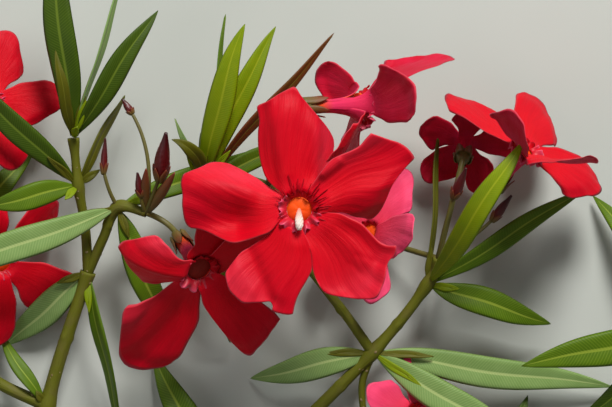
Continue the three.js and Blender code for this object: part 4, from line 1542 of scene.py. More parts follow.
@dataclass
class Threads:
    """The dark threads of the crown, which lie over the far petals of a bloom.

    Each thread has a heading in degrees, the radius that it starts at and a length.
    """

    bloom: Bloom
    radius: float = 0.13
    rise: float = 0.12
    lift: float = 0.8
    slope: float = 0.12
    inner_radius: float = 4.0
    sway: float = 0.16
    dip: float = -0.06
    threads: Rows = (
        (143, 4.6, 2.2), (138, 4.8, 2.6), (134, 4.4, 1.8), (107, 4.0, 4.6), (103, 3.8, 2.4), (93, 4.2, 3.0),
        (88, 4.0, 2.2), (84, 4.1, 3.2), (66, 4.4, 2.4), (52, 4.6, 3.4), (44, 4.3, 2.6), (33, 4.2, 4.0),
        (27, 4.5, 2.6), (19, 4.6, 2.9), (13, 4.7, 2.4), (7, 4.8, 2.8), (1, 4.7, 2.2), (-6, 4.8, 1.9),
        (-24, 5.0, 2.6), (160, 4.5, 1.4))

    def build(self) -> Piece:
        """Builds the threads from the points that they start at.

        Returns:
            The finished object.
        """
        degrees, starts, lengths = np.array(self.threads).T
        headings = np.radians(degrees)
        points = around(starts, headings, self.lift + self.slope * (starts - self.inner_radius))
        mesh = bpy.data.meshes.new("threads_base")
        mesh.from_pydata(((self.bloom.put(points) + SHIFT) * MILLIMETRE).tolist(), [], [])
        sway = np.array([self.sway * (2 * dealt(number) - 1) for number in range(len(starts))])
        turns = paired(0.0, self.dip, headings + sway)
        sizes = paired(lengths * MILLIMETRE, 1.0, 1.0)
        for name, value in (("turn", turns), ("size", sizes)):
            attribute = mesh.attributes.new(name, "FLOAT_VECTOR", "POINT")
            attribute.data.foreach_set("vector", value.reshape(-1))
        piece = grow("main_bloom_threads", mesh, build_thread_tree(), {
            "Radius": self.radius * MILLIMETRE, "Rise": self.rise * MILLIMETRE,
            "Material": MATERIALS["thread"]})
        return finish_piece(piece, [])


@dataclass
class Bud:
    """A pointed bud of petals rolled one way round, on a thin stalk, with short sepals at its foot.

    The sepals stand out from it by a factor, a distance and a curl at the tip.
    """

    name: str
    base: Coords
    tip: Coords
    width: float
    hub: Coords
    way: Coords
    bracts: tuple[tuple[Coords, float], ...] = ()
    twist: float = 2.4
    lobes: int = 5
    lobe_depth: float = 0.12
    lobe_start: Coords = (0.1, 0.4)
    sides: int = 30
    rings: int = 49
    lance: Lance = Lance(0, 1, 0.92)
    blunt: float = 0.3
    fullness: float = 1.12
    taper: float = 0.55
    least_radius: float = 0.1
    stalk_radii: Coords = (0.55, 0.42)
    stalk_steps: int = 25
    stalk_sides: int = 10
    stalk_share: float = 0.12
    sepal_share: float = 0.34
    sepal_half: float = 0.32
    sepal_lance: Lance = Lance(0.2, 0.8, 0.8)
    sepal_way: Coords = (0.3, 0.1, 1.0)
    sepal_point: float = 0.04
    sepal_thickness: float = 0.18
    sepal_grid: tuple[int, int] = (11, 7)
    sepal_proud: Coords = (1.09, 0.06, 0.12)
    bract_half: float = 0.5
    bract_lance: Lance = Lance(0.12, 0.88, 0.9, 0.8)
    bract_point: float = 0.05
    bract_thickness: float = 0.22
    bract_grid: tuple[int, int] = (21, 9)
    bract_bow: float = 0.16
    bract_lift: float = 1.2
    bract_hollow: float = 0.45
    bract_grain: float = 10.0

    def bract(self, tip: Coords, width: float) -> tuple[Array, Array]:
        """Shapes one long bract from the hub to its tip, hollow towards the bud.

        Args:
            tip: its tip.
            width: its greatest width.

        Returns:
            The middle surface, and the texture places.
        """
        root, end = np.array(self.hub, dtype=float), np.array(tip, dtype=float)
        u, v = lattice(*self.bract_grid, -1)
        aside = unit(np.cross(end - root, UPWARDS)) * np.sign(end[0] - self.base[0])
        way = (root + end) / 2 + self.bract_bow * width * aside + self.bract_lift * UPWARDS
        middle = quadratic(root, way, end, v[:, 0])
        ahead = unit(np.gradient(middle, axis=0))
        side = unit(np.cross(ahead, UPWARDS))
        half = self.bract_half * width * self.bract_lance.widths(v) + self.bract_point
        sheet = (middle[:, None] + side[:, None] * (u * half)[..., None]
                 - np.cross(side, ahead)[:, None] * (self.bract_hollow * half * u**2)[..., None])
        return sheet, paired(u * half, self.bract_grain * v)

    def add_sepals(self, shape: Shape, share: Array, girth: Array) -> None:
        """Adds the sepals close round the foot of the bud.

        Args:
            shape: what they are added to.
            share: places along the bud, from 0 to 1.
            girth: the bud's radius there.
        """
        base, tip = np.array(self.base), np.array(self.tip)
        ahead = unit(tip - base)
        side = unit(np.cross(ahead, self.sepal_way))
        across = np.cross(ahead, side)
        u, v = lattice(*self.sepal_grid, -1)
        length = self.sepal_share * float(np.linalg.norm(tip - base))
        half = self.sepal_half * self.width * self.sepal_lance.widths(v) + self.sepal_point
        wider, off, curl = self.sepal_proud
        radius = np.interp(v * self.sepal_share, share, girth) * wider + off + curl * v**2
        for number in range(PETAL_COUNT):
            heading = FULL_TURN * number / PETAL_COUNT + u * half / (self.width / 2)
            sheet = (base + ahead * (v * length)[..., None] + side * (radius * np.cos(heading))[..., None]
                     + across * (radius * np.sin(heading))[..., None])
            shape.add_sheet(sheet, self.sepal_thickness, paired(u * half, v * length), 1, 1, reach=v)

    def build(self) -> Piece:
        """Builds the bud, its sepals, its bracts and its stalk.

        Returns:
            The finished object.
        """
        shape = Shape(f"{self.name}_rolled")
        base, tip = np.array(self.base), np.array(self.tip)
        share = even(self.rings)
        girth = (self.width / 2) * self.fullness * mix(self.blunt, 1, self.lance.widths(share))
        girth = girth * (1 - self.taper * share) + self.least_radius
        wind = self.lobes * (circle(self.sides)[None, :] + self.twist * share[:, None])
        lobed = self.lobe_depth * ((wind / FULL_TURN) % 1 - 0.5) * eased(*self.lobe_start, share)[:, None]
        path = base + share[:, None] * (tip - base)
        shape.add_tube(path, girth[:, None] * (1 + lobed), self.sides, reach=share[:, None])
        foot = mix(base, tip, self.stalk_share)
        steps = even(self.stalk_steps)
        stalk = quadratic(np.array(self.hub), np.array(self.way), foot, steps)
        radii = np.linspace(*self.stalk_radii, self.stalk_steps)
        shape.add_tube(stalk, radii, self.stalk_sides, finish=1, reach=NOUGHT)
        self.add_sepals(shape, share, girth)
        for end, width in self.bracts:
            sheet, places = self.bract(end, width)
            reach = even(len(sheet))[:, None]
            shape.add_sheet(sheet, self.bract_thickness, places, 1, 1, reach=reach)
        return shape.make(["bud", "calyx"], [self.name])


@dataclass(frozen=True)
class Leaf:
    """One leaf: its tip, greatest width and tint, and how its middle lies.

    Arch is the middle's lift, roll its turn in degrees and bow how far it bends to the left.
    """

    tip: Coords
    width: float
    tint: Tint = Tint.MID
    arch: float = 4.0
    roll: float = 0.0
    bow: float = 0.0

    def phase(self, number: int) -> float:
        """Deals out the phase of one of the leaf's waves."""
        return PHASE_SPREAD * dealt(self.tip[0] * SEED_WEIGHT + self.tip[1] + number)


@dataclass
class Whorl:
    """The leaves that one joint of a shoot bears.

    Each wave has a count of radians along a leaf and a size. The groove and the rib have a height and a
    width, and the drooping edges a depth and a sharpness.
    """

    name: str
    root: Coords
    leaves: tuple[Leaf, ...] = ()
    headings: tuple[float, ...] = ()
    rows: int = 44
    columns: int = 12
    thickness: float = 0.42
    clearance: float = 0.05
    stem_gap: float = 0.9
    lance: Lance = Lance(0, 1, 0.85, 0.8)
    fold: float = 0.16
    edge_droop: Coords = (0.12, 4)
    groove: Coords = (0.22, 0.1)
    rib: Coords = (1.3, 0.12)
    rib_fade: float = 0.6
    point: float = 0.06
    root_half: float = 0.65
    sway: float = 0.012
    roll_wave: Coords = (4, 0.12)
    edge_wave: Coords = (11, 0.05)
    plain_reach: float = 43.0
    plain_spread: float = 9.0
    plain_turn: float = 12.0
    plain_height: float = 3.0
    plain_width: float = 8.5
    plain_tints: tuple[Tint, ...] = (Tint.MID, Tint.DARK, Tint.MID, Tint.PALE)
    young_share: Coords = (0.2, 0.14)
    young_aside: float = 5.0
    young_rise: float = 3.2
    young_lowest: float = 1.0
    young_width: float = 2.1
    young_arch: float = 0.6
    young_roll: float = 40.0

    def plain_leaf(self, degrees: float) -> Leaf:
        """Deals out a leaf that has only a heading.

        Args:
            degrees: its heading.

        Returns:
            The leaf.
        """
        heading = math.radians(degrees + self.plain_turn * (dealt(degrees) - 0.5))
        reach = self.plain_reach + self.plain_spread * (dealt(degrees + 0.5) - 0.5)
        x, y = self.root[:2]
        tip = (x + reach * math.cos(heading), y + reach * math.sin(heading), self.plain_height)
        tint = self.plain_tints[int(len(self.plain_tints) * dealt(degrees + 0.25))]
        return Leaf(tip, self.plain_width, tint)

    def young_leaf(self, number: int, leaf: Leaf) -> Leaf:
        """Deals out the young leaf in the axil of another.

        Args:
            number: the number of the other leaf.
            leaf: the other leaf.

        Returns:
            The young leaf.
        """
        seed = leaf.tip[0] + 2 * leaf.tip[1]
        least, more = self.young_share
        x, y, z = mix(np.array(self.root), np.array(leaf.tip), least + more * dealt(seed))
        aside = (dealt(seed + 1) - 0.5) * self.young_aside
        tip = (x + aside, y - aside, max(z + self.young_rise, self.young_lowest))
        tint = Tint.BRIGHT if number % 2 else Tint.OLIVE
        roll = self.young_roll * (dealt(seed + 2) - 0.5)
        return Leaf(tip, self.young_width, tint, arch=self.young_arch, roll=roll)

    def all_leaves(self) -> list[Leaf]:
        """Lists the given leaves, those that have only a heading, and the young ones in their axils."""
        leaves = [*self.leaves, *(self.plain_leaf(degrees) for degrees in self.headings)]
        return leaves + [self.young_leaf(number, leaf) for number, leaf in enumerate(leaves)]

    def middle(self, leaf: Leaf) -> tuple[Array, Array, Array, float]:
        """Lays out a leaf's midrib, from its root beside the shoot's axis to its tip.

        Args:
            leaf: the leaf.

        Returns:
            The midrib's points, the directions to the side and out of the leaf's face, and the length.
        """
        root, end = np.array(self.root, dtype=float), np.array(leaf.tip, dtype=float)
        start = mix(root, end, self.stem_gap / np.linalg.norm(end - root))
        way = (start + end) / 2 + UPWARDS * 2 * leaf.arch
        way = way + unit(np.cross(UPWARDS, end - start)) * 2 * leaf.bow
        length = float(np.linalg.norm(end - start))
        v = even(self.rows + 1)
        line = quadratic(start, way, end, v)
        ahead = unit(np.gradient(line, axis=0))
        sway = self.sway * length * np.sin(math.pi * v * 2 + leaf.phase(0)) * np.sin(math.pi * v)
        level = unit(np.stack([-ahead[:, 1], ahead[:, 0], np.zeros(len(v))], axis=-1))
        roll = math.radians(leaf.roll) + wave(self.roll_wave, v, leaf.phase(1))
        side = level * np.cos(roll)[:, None] + np.cross(ahead, level) * np.sin(roll)[:, None]
        return line + level * sway[:, None], side, np.cross(ahead, side), length

    def lifts(self, leaf: Leaf, half: Array, u: Array, v: Array) -> Array:
        """Gives the fold, the drooping edges, the groove over the midrib and the waves of a leaf.

        Args:
            leaf: the leaf.
            half: its half-width at each row, as a column.
            u: the shares across it, from -1 to 1.
            v: the shares along it.

        Returns:
            How far each place stands out of the leaf's face.
        """
        count, size = self.edge_wave
        depth, groove_width = self.groove
        droop, sharpness = self.edge_droop
        wide = np.minimum(half / (leaf.width / 2), 1)
        lift = self.fold * np.abs(u) * half - droop * half * u**sharpness
        lift = lift - depth * hump(u, groove_width) * wide
        return lift + size * half * (np.sin(count * v + leaf.phase(2)) * u * np.abs(u))

    def add_leaf(self, shape: Shape, leaf: Leaf) -> None:
        """Adds one leaf, with its two sides in the finishes of its tint.

        Args:
            shape: what it is added to.
            leaf: the leaf.
        """
        line, side, face, length = self.middle(leaf)
        u, v = lattice(self.rows + 1, self.columns + 1, -1)
        half = np.maximum((leaf.width / 2) * self.lance.widths(v), self.root_half * (1 - v))
        half[-1] = self.point
        lift = self.lifts(leaf, half, u, v)
        sheet = line[:, None] + side[:, None] * (u * half)[..., None] + face[:, None] * lift[..., None]
        sheet[..., 2] = np.maximum(sheet[..., 2], self.thickness / 2 + self.clearance)
        height, rib_width = self.rib
        thick = self.thickness * (1 + height * hump(u, rib_width) * (1 - self.rib_fade * v))
        places = paired(u, v * length / leaf.width)
        number = list(Tint).index(leaf.tint)
        shape.add_sheet(sheet, thick, places, upper=2 * number, under=2 * number + 1)

    def build(self) -> Piece:
        """Builds all the leaves of the whorl as one piece.

        Returns:
            The finished object.
        """
        shape = Shape(f"{self.name}_fine")
        for leaf in self.all_leaves():
            self.add_leaf(shape, leaf)
        finishes = [tint.finish(side) for tint in Tint for side in ("upper", "under")]
        return shape.make(finishes, [self.name])


CUT_END = (-90, -204, 3.6)
FORK = (-75.5, -129.5, 4.2)
LEFT_BASE = (-70, -89, 6)
LEFT_LOW = (-64.5, -50.5, 8)
LEFT_FORK = (-54, -17, 12)
LEFT_BEND = (-56, 4.5, 18)
LEFT_TIP = (-57, 16, 20)
BUD_NODE = (-46.2, -0.9, 19)
BUD_HUB = (-39.2, -2.3, 21)
SIDE_NODE = (-90.5, -14.5, 11)
SIDE_HUB = (-88.5, -5.5, 13)
RIGHT_BASE = (-54, -109, 5)
RIGHT_LOW = (-20, -74, 7)
RIGHT_FORK = (16.5, -37, 10.5)
RIGHT_NODE = (30, -20, 14)
RIGHT_HUB = (32.5, -13.5, 17)
CENTRE_NODE = (-25, 5, 22)
CENTRE_HUB = (-9, 4.5, 27)
LOWER_HUB = (14.5, -54, 6)
OUTER_LOW = (38, -90, 4.5)
OUTER_BEND = (82, -65, 7.5)
OUTER_TIP = (98, -30, 13)

MAIN_STEM = Shoot("main_stem", (3.6, 3.1), [CUT_END, (-84, -166, 3.7), FORK])
SHOOTS = [
    MAIN_STEM,
    Shoot("left_shoot", (2.4, 1.5), [FORK, LEFT_BASE, LEFT_LOW, LEFT_FORK], (1, 2, 3), aged=0.7),
    Shoot("left_tip_shoot", (1.3, 1), [LEFT_FORK, (-54.5, -6, 15), LEFT_BEND, LEFT_TIP], (2, 3)),
    Shoot("bud_shoot", (1.3, 1.1), [LEFT_FORK, (-50, -8.5, 15.5), BUD_NODE, BUD_HUB], (2,)),
    Shoot("left_side_shoot", (1.6, 1.1),
          [LEFT_LOW, (-79, -43, 7.5), (-88.5, -30, 9), SIDE_NODE, SIDE_HUB], (3,)),
    Shoot("right_shoot", (2.4, 1.2),
          [FORK, RIGHT_BASE, RIGHT_LOW, RIGHT_FORK, RIGHT_NODE, RIGHT_HUB], (1, 2, 3, 4), aged=0.7),
    Shoot("centre_shoot", (1.3, 0.9), [RIGHT_FORK, (7.5, -24.5, 14.5), (-5, -10, 18), CENTRE_NODE], (3,)),
    Shoot("flower_stalk", (1, 0.9), [CENTRE_NODE, (-17, 6.5, 25.5), CENTRE_HUB]),
    Shoot("lower_stalk", (1, 0.8), [RIGHT_FORK, (14, -45, 8), LOWER_HUB]),
    Shoot("outer_shoot", (1.8, 1.1),
          [RIGHT_LOW, (4, -87, 4.5), OUTER_LOW, OUTER_BEND, OUTER_TIP], (2, 3, 4)),
]

WHORLS = [
    Whorl("left_base_leaves", LEFT_BASE, headings=(22, 168, 222)),
    Whorl("left_low_leaves", LEFT_LOW, (
        Leaf((-77, -32, 3), 4, roll=30),
        Leaf((-40, -84, 0.6), 8, Tint.DARK),
        Leaf((-101, -72, 0.6), 8.5))),
    Whorl("left_fork_leaves", LEFT_FORK, (
        Leaf((-76, -36, 0.6), 7.6, Tint.PALE, arch=2),
        Leaf((-46.5, -58, 0.6), 6, roll=50))),
    Whorl("left_bend_leaves", LEFT_BEND, (
        Leaf((-86, 34, 25), 6.6, Tint.DARK, roll=-20),
        Leaf((-78, -1, 21), 6.4),
        Leaf((-45, 27, 9), 4, Tint.OLIVE, roll=55))),
    Whorl("left_tip_leaves", LEFT_TIP, (
        Leaf((-61.5, 66, 28), 7.6, Tint.DARK),
        Leaf((-60.5, 37, 31), 3.2, Tint.OLIVE, roll=25),
        Leaf((-44, 57, 24), 3.6, Tint.PALE, roll=68),
        Leaf((-36, 47, 25), 6, Tint.DARK, roll=18))),
    Whorl("bud_leaves", BUD_NODE, (
        Leaf((-97, -21, 26), 7.8, Tint.PALE, arch=5),
        Leaf((-8, 14, 15), 6, arch=-3),
        Leaf((-33, -36, 4), 7))),
    Whorl("side_leaves", SIDE_NODE, (
        Leaf((-108, 22, 3), 7.5, Tint.DARK),
        Leaf((-106, -52, 0.6), 8),
        Leaf((-68, 14, 1), 7))),
    Whorl("right_base_leaves", RIGHT_BASE, headings=(322, 266)),
    Whorl("right_low_leaves", RIGHT_LOW, headings=(118, 292)),
    Whorl("right_fork_leaves", RIGHT_FORK, (
        Leaf((77, -46, 3), 8, Tint.PALE, arch=2),
        Leaf((56, -61, 7), 8, Tint.PALE),
        Leaf((-14, -44, 0.6), 7.5, Tint.PALE))),
    Whorl("right_node_leaves", RIGHT_NODE, (
        Leaf((52.2, 15.3, 37), 6.4, Tint.BRIGHT, arch=11, roll=-15),
        Leaf((61, -30, 8), 7.2),
        Leaf((33, 18.5, 9), 3, Tint.OLIVE, roll=55),
        Leaf((70, 4, 9), 5.4, roll=20))),
    Whorl("centre_leaves", CENTRE_NODE, (
        Leaf((-14.6, 43, 37), 6.8, Tint.BRIGHT, roll=-12, bow=1.2),
        Leaf((-7.3, 42.8, 30), 6.2, Tint.BRIGHT, roll=15, bow=1.0),
        Leaf((-19.5, 46, 27), 2.6, roll=62),
        Leaf((6.8, 41.3, 29), 3.8, Tint.RUSSET, roll=45),
        Leaf((-1, 16, 17), 5, arch=-1),
        Leaf((-31.6, 20.5, 33), 1.7, Tint.PALE, arch=2),
        Leaf((-19, -35, 3), 7),
        Leaf((-32.4, 15.4, 32), 3.8, Tint.OLIVE, arch=3, bow=-2.6))),
    Whorl("outer_low_leaves", OUTER_LOW, headings=(66, 294)),
    Whorl("outer_bend_leaves", OUTER_BEND, headings=(322, 250)),
    Whorl("outer_tip_leaves", OUTER_TIP, (
        Leaf((52.7, -39.8, 21), 9, arch=3),
        Leaf((66, -56, 6), 6, Tint.DARK),
        Leaf((90, 14, 8), 8, Tint.DARK),
        Leaf((111, 12, 17), 8.5),
        Leaf((72, 2, 2), 7.5))),
]

# The fifth number of a turn is how much pink painted sheen it lays on
MAIN_PETALS = (
    Petal(TOP, (0, 4), (-1.6, -1.6, -1.4, -1.6), 3.4, folds=(
        Fold((9, 2.4), (24, 2.0), 2.6, 0.7),), turns=(
        Fold((8, -4.0), (23, -5.6), 2.2, -2.2, 0.6), Fold((24, 3.6), (8, 2.6), 2.4, -1.2))),
    Petal(LEFT, (0, -8), (-1.8, -1.6, 0.2, 1.0), 3.2, folds=(
        Fold((13, -0.4), (26, -0.8), 3.0, 1.2),
        Fold((14, 7.5), (24, 10.5), 5.0, -4.4)), turns=(
        Fold((10, -1.0), (27, -1.6), 2.6, -1.6, 0.65), Fold((28, 1.6), (20, 6.0), 3.0, -0.4))),
    Petal(LOWER_LEFT, (2, -8), (-0.4, -1.0, -0.3, -0.9), folds=(
        Fold((8, 4), (19, 7), 2.4, 0.6),
        Fold((14, -5.4), (21.6, 5.4), 1.6, -0.7)), turns=(
        Fold((14.5, -7.0), (21.6, 6.0), 3.2, 1.1, 0.55),)),
    Petal(LOWER_RIGHT, (0, 8), (0.5, 0.2, 1.4, 1.5), 1.9, folds=(
        Fold((17, 3.4), (24.4, 7.4), 0.7, -0.14),
        Fold((17.5, 0.8), (25.4, 2.2), 0.7, -0.12),
        Fold((8, 3), (19, 4), 2.6, 0.9)), turns=(Fold((18.5, -9), (19.5, 9), 4.6, 0.9, 0.4),)),
    Petal(UPPER_RIGHT, (0, 2), (-1.8, -1.8, 0.5, 0.4), 3.2, folds=(
        Fold((8.5, 5.4), (13, 6.8), 1.0, 0.8),
        Fold((8, -2.2), (25, -2.6), 3.4, 1.7)), turns=(
        Fold((8, -4.8), (25, -5.8), 2.2, -1.3), Fold((20, 5.4), (8, 3.4), 2.6, 0.6, 0.35))),
)
LOWER_LEFT_PETALS = (
    Petal(open=(0, -10), size=0.75, lean=-24),
    Petal(open=(30, -85), size=0.9, rolls=(0.3, -1.0, -1.0, -1.4), lean=3, turns=(
        Fold((27, 0.2), (9, 0.6), 1.6, -1.3), Fold((8, -3.0), (24, -4.5), 3.0, -0.6, 0.6))),
    Petal(open=(-5, -8), size=1.16, lean=3, folds=(Fold((9, 2.0), (25, 3.0), 2.6, -1.0),), turns=(
        Fold((10, -2.6), (24, -3.4), 3.0, 0.9, 0.35),)),
    Petal(STRAIGHT, (14, 14), lean=-9, folds=(Fold((9, 1.0), (25, 1.6), 2.4, 0.7),)),
    Petal(open=(0, 0)),
)


def plain_petals(*slopes: tuple[float, float], sizes: Coords = (1, 1, 1, 1, 1)) -> tuple[Petal, ...]:
    """Gives petals of the plain outline with these slopes at root and tip, and these sizes."""
    return tuple(Petal(open=slope, size=size) for slope, size in zip(slopes, sizes))


BLOOMS = [
    Bloom("main_bloom", (-1.6, -1.4, 50), (0, 0, 1), 94.5, CENTRE_HUB, MAIN_PETALS, tube=19, rows=70,
          columns=52, full=True),
    Bloom("lower_left_bloom", (-25.4, -16.2, 36), (0.35, -0.5, 0.79), 100, BUD_HUB,
          LOWER_LEFT_PETALS, full=True, throat="shaded_throat"),
    Bloom("upper_right_bloom", (14.1, 23.6, 34), (0.92, 0.03, -0.37), 98, CENTRE_HUB,
          plain_petals((35, 95), (5, 15), (-20, -60), (0, 10), (-10, -30),
                       sizes=(0.9, 0.85, 0.75, 0.8, 0.65)), full=True),
    Bloom("right_bloom", (53.2, 13, 26), (0.47, 0.65, 0.6), 116, RIGHT_HUB,
          plain_petals((0, -10), (25, 70), (25, 70), (0, -10), (0, 0)), size=0.85, full=True),
    Bloom("nodding_bloom", (39.5, 15, 9), (0.1, 0.45, -0.88), 100, RIGHT_HUB,
          plain_petals((0, -40), (0, -30), (0, -30), (0, -30), (0, -40)), size=0.5),
    Bloom("inner_bloom", (15.5, -7, 17), (-0.4, 0.22, 0.89), 60, RIGHT_HUB,
          plain_petals((0, -10), (0, -20), (0, -10), (0, 10), (20, 45)), size=0.65, full=True,
          skin="petal_coral"),
    Bloom("left_bloom", (-77.5, 25.5, 18), (0.3, 0.25, 0.92), 68, SIDE_HUB,
          plain_petals((0, 10), (0, 0), (0, -10), (0, -10), (0, 10)), size=0.65, full=True),
    Bloom("lower_bloom", (-75, -15, 12.5), (0.5, -0.3, 0.81), 45, SIDE_HUB,
          plain_petals((0, -10), (0, -10), (0, 0), (10, 10), (15, 25)), size=0.75, full=True),
    Bloom("bottom_bloom", (27, -52, 10.5), (0.6, 0.05, 0.8), 80, LOWER_HUB,
          plain_petals((0, 0), (0, 0), (0, 10), (0, 10), (0, 0)), size=0.56, full=True, skin="petal_coral"),
]

BUDS = [
    Bud("large_bud", (-35.6, 5.2, 27), (-33.7, 17, 33), 4.2, BUD_HUB, (-37.5, 1.5, 25),
        bracts=(((-38.7, 8.6, 29), 2.4), ((-31.6, 7.6, 31), 2.6))),
    Bud("small_bud", (-40.2, 1.5, 24), (-41, 7.5, 26), 2.1, BUD_HUB, (-40, -1, 23)),
    Bud("high_bud", (-42.4, 21.8, 21), (-45, 25.6, 21), 1.9, BUD_HUB, (-36.5, 12, 22)),
    Bud("thin_bud", (-49.5, 7, 22), (-49, 16, 23), 1.7, BUD_NODE, (-48.5, 3, 22)),
    Bud("right_bud", (45.5, -4.5, 18), (50.5, 2, 19), 2.4, RIGHT_HUB, (39, -10.5, 18)),
    Bud("middle_bud", (35.8, 1, 24), (38.8, 8.6, 28.5), 2.7, RIGHT_HUB, (33.5, -6, 22)),
]


def drawing_shift() -> Array:
    """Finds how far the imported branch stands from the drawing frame, by the corner of its main stem.

    Returns:
        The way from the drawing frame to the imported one, in millimetres.
    """
    steps = round(MAIN_STEM.line.length / SOLID_RING_STEP)
    path = MAIN_STEM.line.spread(steps + 1)
    radii = np.linspace(*MAIN_STEM.radii, steps + 1)
    drawn = sections(path, radii, SOLID_SIDES).reshape(-1, 3).min(axis=0)
    return np.array(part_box("main_stem")[0]) / MILLIMETRE - drawn


SHIFT = drawing_shift()
GROUPS = {"mottle": build_mottle(), "veins": build_veins()}


def build_materials() -> dict[str, Material]:
    """Builds every finish of the branch.

    Returns:
        The materials by name.
    """
    sheen_pink = colour(255, 110, 150)
    finishes = [
        PetalFinish("petal_upper", sheen=0.22, sheen_tint=sheen_pink, specular=0.12),
        PetalFinish("petal_under", roughness=0.55, sheen=0.3, sheen_tint=colour(255, 140, 175), specular=0.12,
                    throat=colour(240, 92, 20), mouth=colour(236, 52, 100), blade=colour(196, 10, 44),
                    margin=colour(196, 6, 36), vein=colour(150, 4, 34), patch=colour(226, 40, 84),
                    throat_end=0.06, mouth_start=0.12),
        PetalFinish("petal_coral", sheen=0.22, sheen_tint=sheen_pink, specular=0.12, mouth=colour(236, 30, 60),
                    blade=colour(240, 54, 84), margin=colour(242, 74, 118), vein=colour(214, 34, 60),
                    patch=colour(244, 88, 124)),
        BarkFinish("bark", roughness=0.6, specular=0.22),
        TissueFinish("cut_wood", roughness=0.7, foot=colour(196, 184, 132), tip=colour(214, 204, 160),
                     streak=colour(150, 130, 80)),
        SpeckFinish("cambium", roughness=0.6, ground=colour(142, 156, 72), patch=colour(120, 132, 56)),
        SpeckFinish("pith", roughness=0.8, ground=colour(168, 140, 92), patch=colour(140, 110, 66)),
        TissueFinish("calyx", foot=colour(96, 94, 34), tip=colour(128, 44, 24), streak=colour(92, 40, 18)),
        TissueFinish("crown", sheen=0.3, foot=colour(206, 8, 40), tip=colour(244, 84, 124),
                     streak=colour(150, 0, 24), streak_share=0.4),
        TissueFinish("dark_crown", specular=0.15, foot=colour(206, 10, 30), tip=colour(150, 0, 18),
                     streak=colour(120, 0, 14)),
        SpeckFinish("thread", specular=0.15, ground=colour(150, 0, 14), patch=colour(190, 4, 26)),
        SpeckFinish("pore", roughness=0.75, specular=0.2, ground=colour(150, 132, 92),
                    patch=colour(112, 90, 58)),
        # The throat's tip colour is the painted shade of the dome's near side
        TissueFinish("throat", roughness=0.6, sheen=0.3, sheen_tint=colour(255, 190, 90), specular=0.2,
                     foot=colour(250, 86, 0), tip=colour(196, 26, 0), streak=colour(236, 66, 0),
                     streak_share=0.25),
        # Painted shade: the throat dome of the lower left bloom, which faces away, all dark red in place of
        # orange
        TissueFinish("shaded_throat", roughness=0.6, specular=0.2, foot=colour(150, 4, 18),
                     tip=colour(150, 4, 18), streak=colour(96, 78, 20), streak_share=0.35),
        TissueFinish("anther", roughness=0.75, sheen=0.4, specular=0.2, foot=colour(232, 96, 50),
                     tip=colour(255, 252, 240), streak=colour(206, 150, 130), streak_share=0.35),
        TissueFinish("bud", roughness=0.38, sheen=0.1, sheen_tint=colour(255, 120, 130),
                     foot=colour(112, 14, 14), tip=colour(58, 0, 4), streak=colour(30, 0, 2),
                     streak_share=0.4),
    ]
    greyish, greyness = np.array(colour(150, 165, 110)), 0.35
    for tint in Tint:
        ground, patch, rib = tint.value
        under = tuple(mix(np.array(ground), greyish, greyness))
        finishes += [
            LeafFinish(tint.finish("upper"), roughness=0.46, specular=0.2, ground=ground, patch=patch,
                       rib=rib),
            LeafFinish(tint.finish("under"), roughness=0.7, specular=0.15, ground=under, patch=ground,
                       rib=rib)]
    return {finish.name: finish.material() for finish in finishes}


MATERIALS = build_materials()


@dataclass
class Pores:
    """The pores of all the bark, low warts dealt out evenly over it by a number for each square metre."""

    density: float = 2.4e4
    radius: float = 0.34
    seed: int = 7

    def build(self, limbs: list[Piece]) -> Piece:
        """Builds the pores over the limbs.

        Args:
            limbs: the pieces of the stem and the shoots.

        Returns:
            The finished object.
        """
        joined = bmesh.new()
        for limb in limbs:
            joined.from_mesh(limb.data)
        mesh = bpy.data.meshes.new("pores_base")
        joined.to_mesh(mesh)
        joined.free()
        piece = grow("bark_pores", mesh, build_pore_tree(), {
            "Density": self.density, "Radius": self.radius * MILLIMETRE, "Seed": self.seed,
            "Material": MATERIALS["pore"]})
        return finish_piece(piece, [])


@dataclass
class Limbs:
    """The stem and the shoots, each in place of its parted solids.

    Each ring of the cut end has a radius and how far it stands out of the cut.
    """

    shoots: list[Shoot]
    cut_rings: Rows = ((3.25, 0.06), (2.75, 0.1), (0.8, 0.14))
    cut_finishes: tuple[str, ...] = ("cambium", "cut_wood", "pith")
    cut_depth: float = 0.5
    cut_sides: int = 32

    def add_cut_end(self, shape: Shape, shoot: Shoot) -> None:
        """Adds the rings of a cut end: green layer, wood and pith.

        Args:
            shape: what they are added to.
            shoot: the limb that is cut.
        """
        start = shoot.samples[0]
        ahead = unit(shoot.samples[1] - start)
        for finish, (radius, proud) in enumerate(self.cut_rings, 1):
            ends = np.array([start - proud * ahead, start + self.cut_depth * ahead])
            radii = np.full(len(ends), radius)
            shape.add_tube(ends, radii, self.cut_sides, finish, age=NOUGHT, reach=NOUGHT)

    def build(self) -> list[Piece]:
        """Builds every limb.

        Returns:
            The finished objects.
        """
        built = []
        for shoot in self.shoots:
            shape = Shape(f"{shoot.name}_bark")
            shoot.add_to(shape)
            finishes = ["bark"]
            if shoot is MAIN_STEM:
                self.add_cut_end(shape, shoot)
                finishes += self.cut_finishes
            start = f"{shoot.name}_"
            parts = [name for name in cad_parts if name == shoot.name or name.startswith(start)]
            built.append(shape.make(finishes, parts))
        return built


@dataclass(frozen=True)
class Lamp:
    """A soft square light: its place, its side and its power in watts."""

    name: str
    place: Coords
    side: float
    power: float


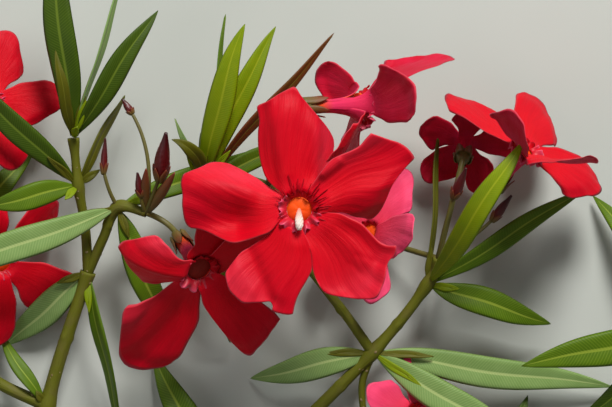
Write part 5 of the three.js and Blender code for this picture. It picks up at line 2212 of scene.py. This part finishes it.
@dataclass
class Stage:
    """The pale floor, the soft lights and the camera that looks straight down."""

    floor_side: float = 3.0
    floor_finish: Surface = SpeckFinish(
        "floor", 0.85, relief=0.0, ground=colour(184, 187, 178), patch=colour(192, 194, 186), scale=9.0)
    lamps: tuple[Lamp, ...] = (
        Lamp("key", (260, 960, 940), 400, 22.4), Lamp("fill", (-840, -120, 960), 840, 2.0))
    lamp_aim: Coords = (0, 0, 30)
    world_tone: Coords = (0.62, 0.65, 0.66, 1.0)
    world_strength: float = 0.28
    camera_place: Coords = (0, 0, 750)
    lens: float = 175.2
    sensor: float = 36.0

    def place(self, name: str, data: bpy.types.ID, point: Array) -> Piece:
        """Adds an object at a point of the scene, in metres.

        Args:
            name: the object's name.
            data: its mesh, light or camera.
            point: where it goes.

        Returns:
            The object.
        """
        thing = bpy.data.objects.new(name, data)
        thing.location = point
        bpy.context.scene.collection.objects.link(thing)
        return thing

    def metres(self, place: Coords) -> Array:
        """Turns a place of the drawing frame into one of the scene."""
        return (np.array(place, dtype=float) + SHIFT) * MILLIMETRE

    def build_floor(self) -> None:
        """Builds the floor."""
        half = self.floor_side / 2
        corners = [(-half, -half, 0), (half, -half, 0), (half, half, 0), (-half, half, 0)]
        mesh = bpy.data.meshes.new("floor")
        mesh.from_pydata(corners, [], [(0, 1, 2, 3)])
        mesh.materials.append(self.floor_finish.material())
        self.place("floor", mesh, np.zeros(3))

    def build_lights(self) -> None:
        """Builds the lights, each facing the middle of the view, and the even light of the world."""
        for lamp in self.lamps:
            data = bpy.data.lights.new(lamp.name, "AREA")
            data.size = lamp.side * MILLIMETRE
            data.energy = lamp.power
            light = self.place(lamp.name, data, self.metres(lamp.place))
            aim = self.metres(self.lamp_aim) - self.metres(lamp.place)
            light.rotation_euler = Vector(aim).to_track_quat("-Z", "Y").to_euler()
        world = bpy.data.worlds.new("studio")
        world.use_nodes = True
        background = world.node_tree.nodes["Background"].inputs
        background["Color"].default_value = self.world_tone
        background["Strength"].default_value = self.world_strength
        bpy.context.scene.world = world

    def build(self) -> None:
        """Builds the floor, the lights and the camera."""
        self.build_floor()
        self.build_lights()
        bpy.context.scene.view_settings.view_transform = "Standard"
        data = bpy.data.cameras.new("camera")
        data.lens = self.lens
        data.sensor_width = self.sensor
        bpy.context.scene.camera = self.place("camera", data, self.metres(self.camera_place))


def main() -> None:
    """Builds the branch piece by piece, and the stage under it."""
    logging.basicConfig(level=logging.INFO, format="%(name)s: %(message)s")
    Pores().build(Limbs(SHOOTS).build())
    for bloom in BLOOMS:
        bloom.build()
        Calyx(bloom).build()
        if bloom.full:
            Crown(bloom).build()
    main_bloom = BLOOMS[0]
    Anthers(main_bloom.centre).build()
    Threads(main_bloom).build()
    for piece in (*BUDS, *WHORLS):
        piece.build()
    Stage().build()


if __name__ == "__main__":
    main()
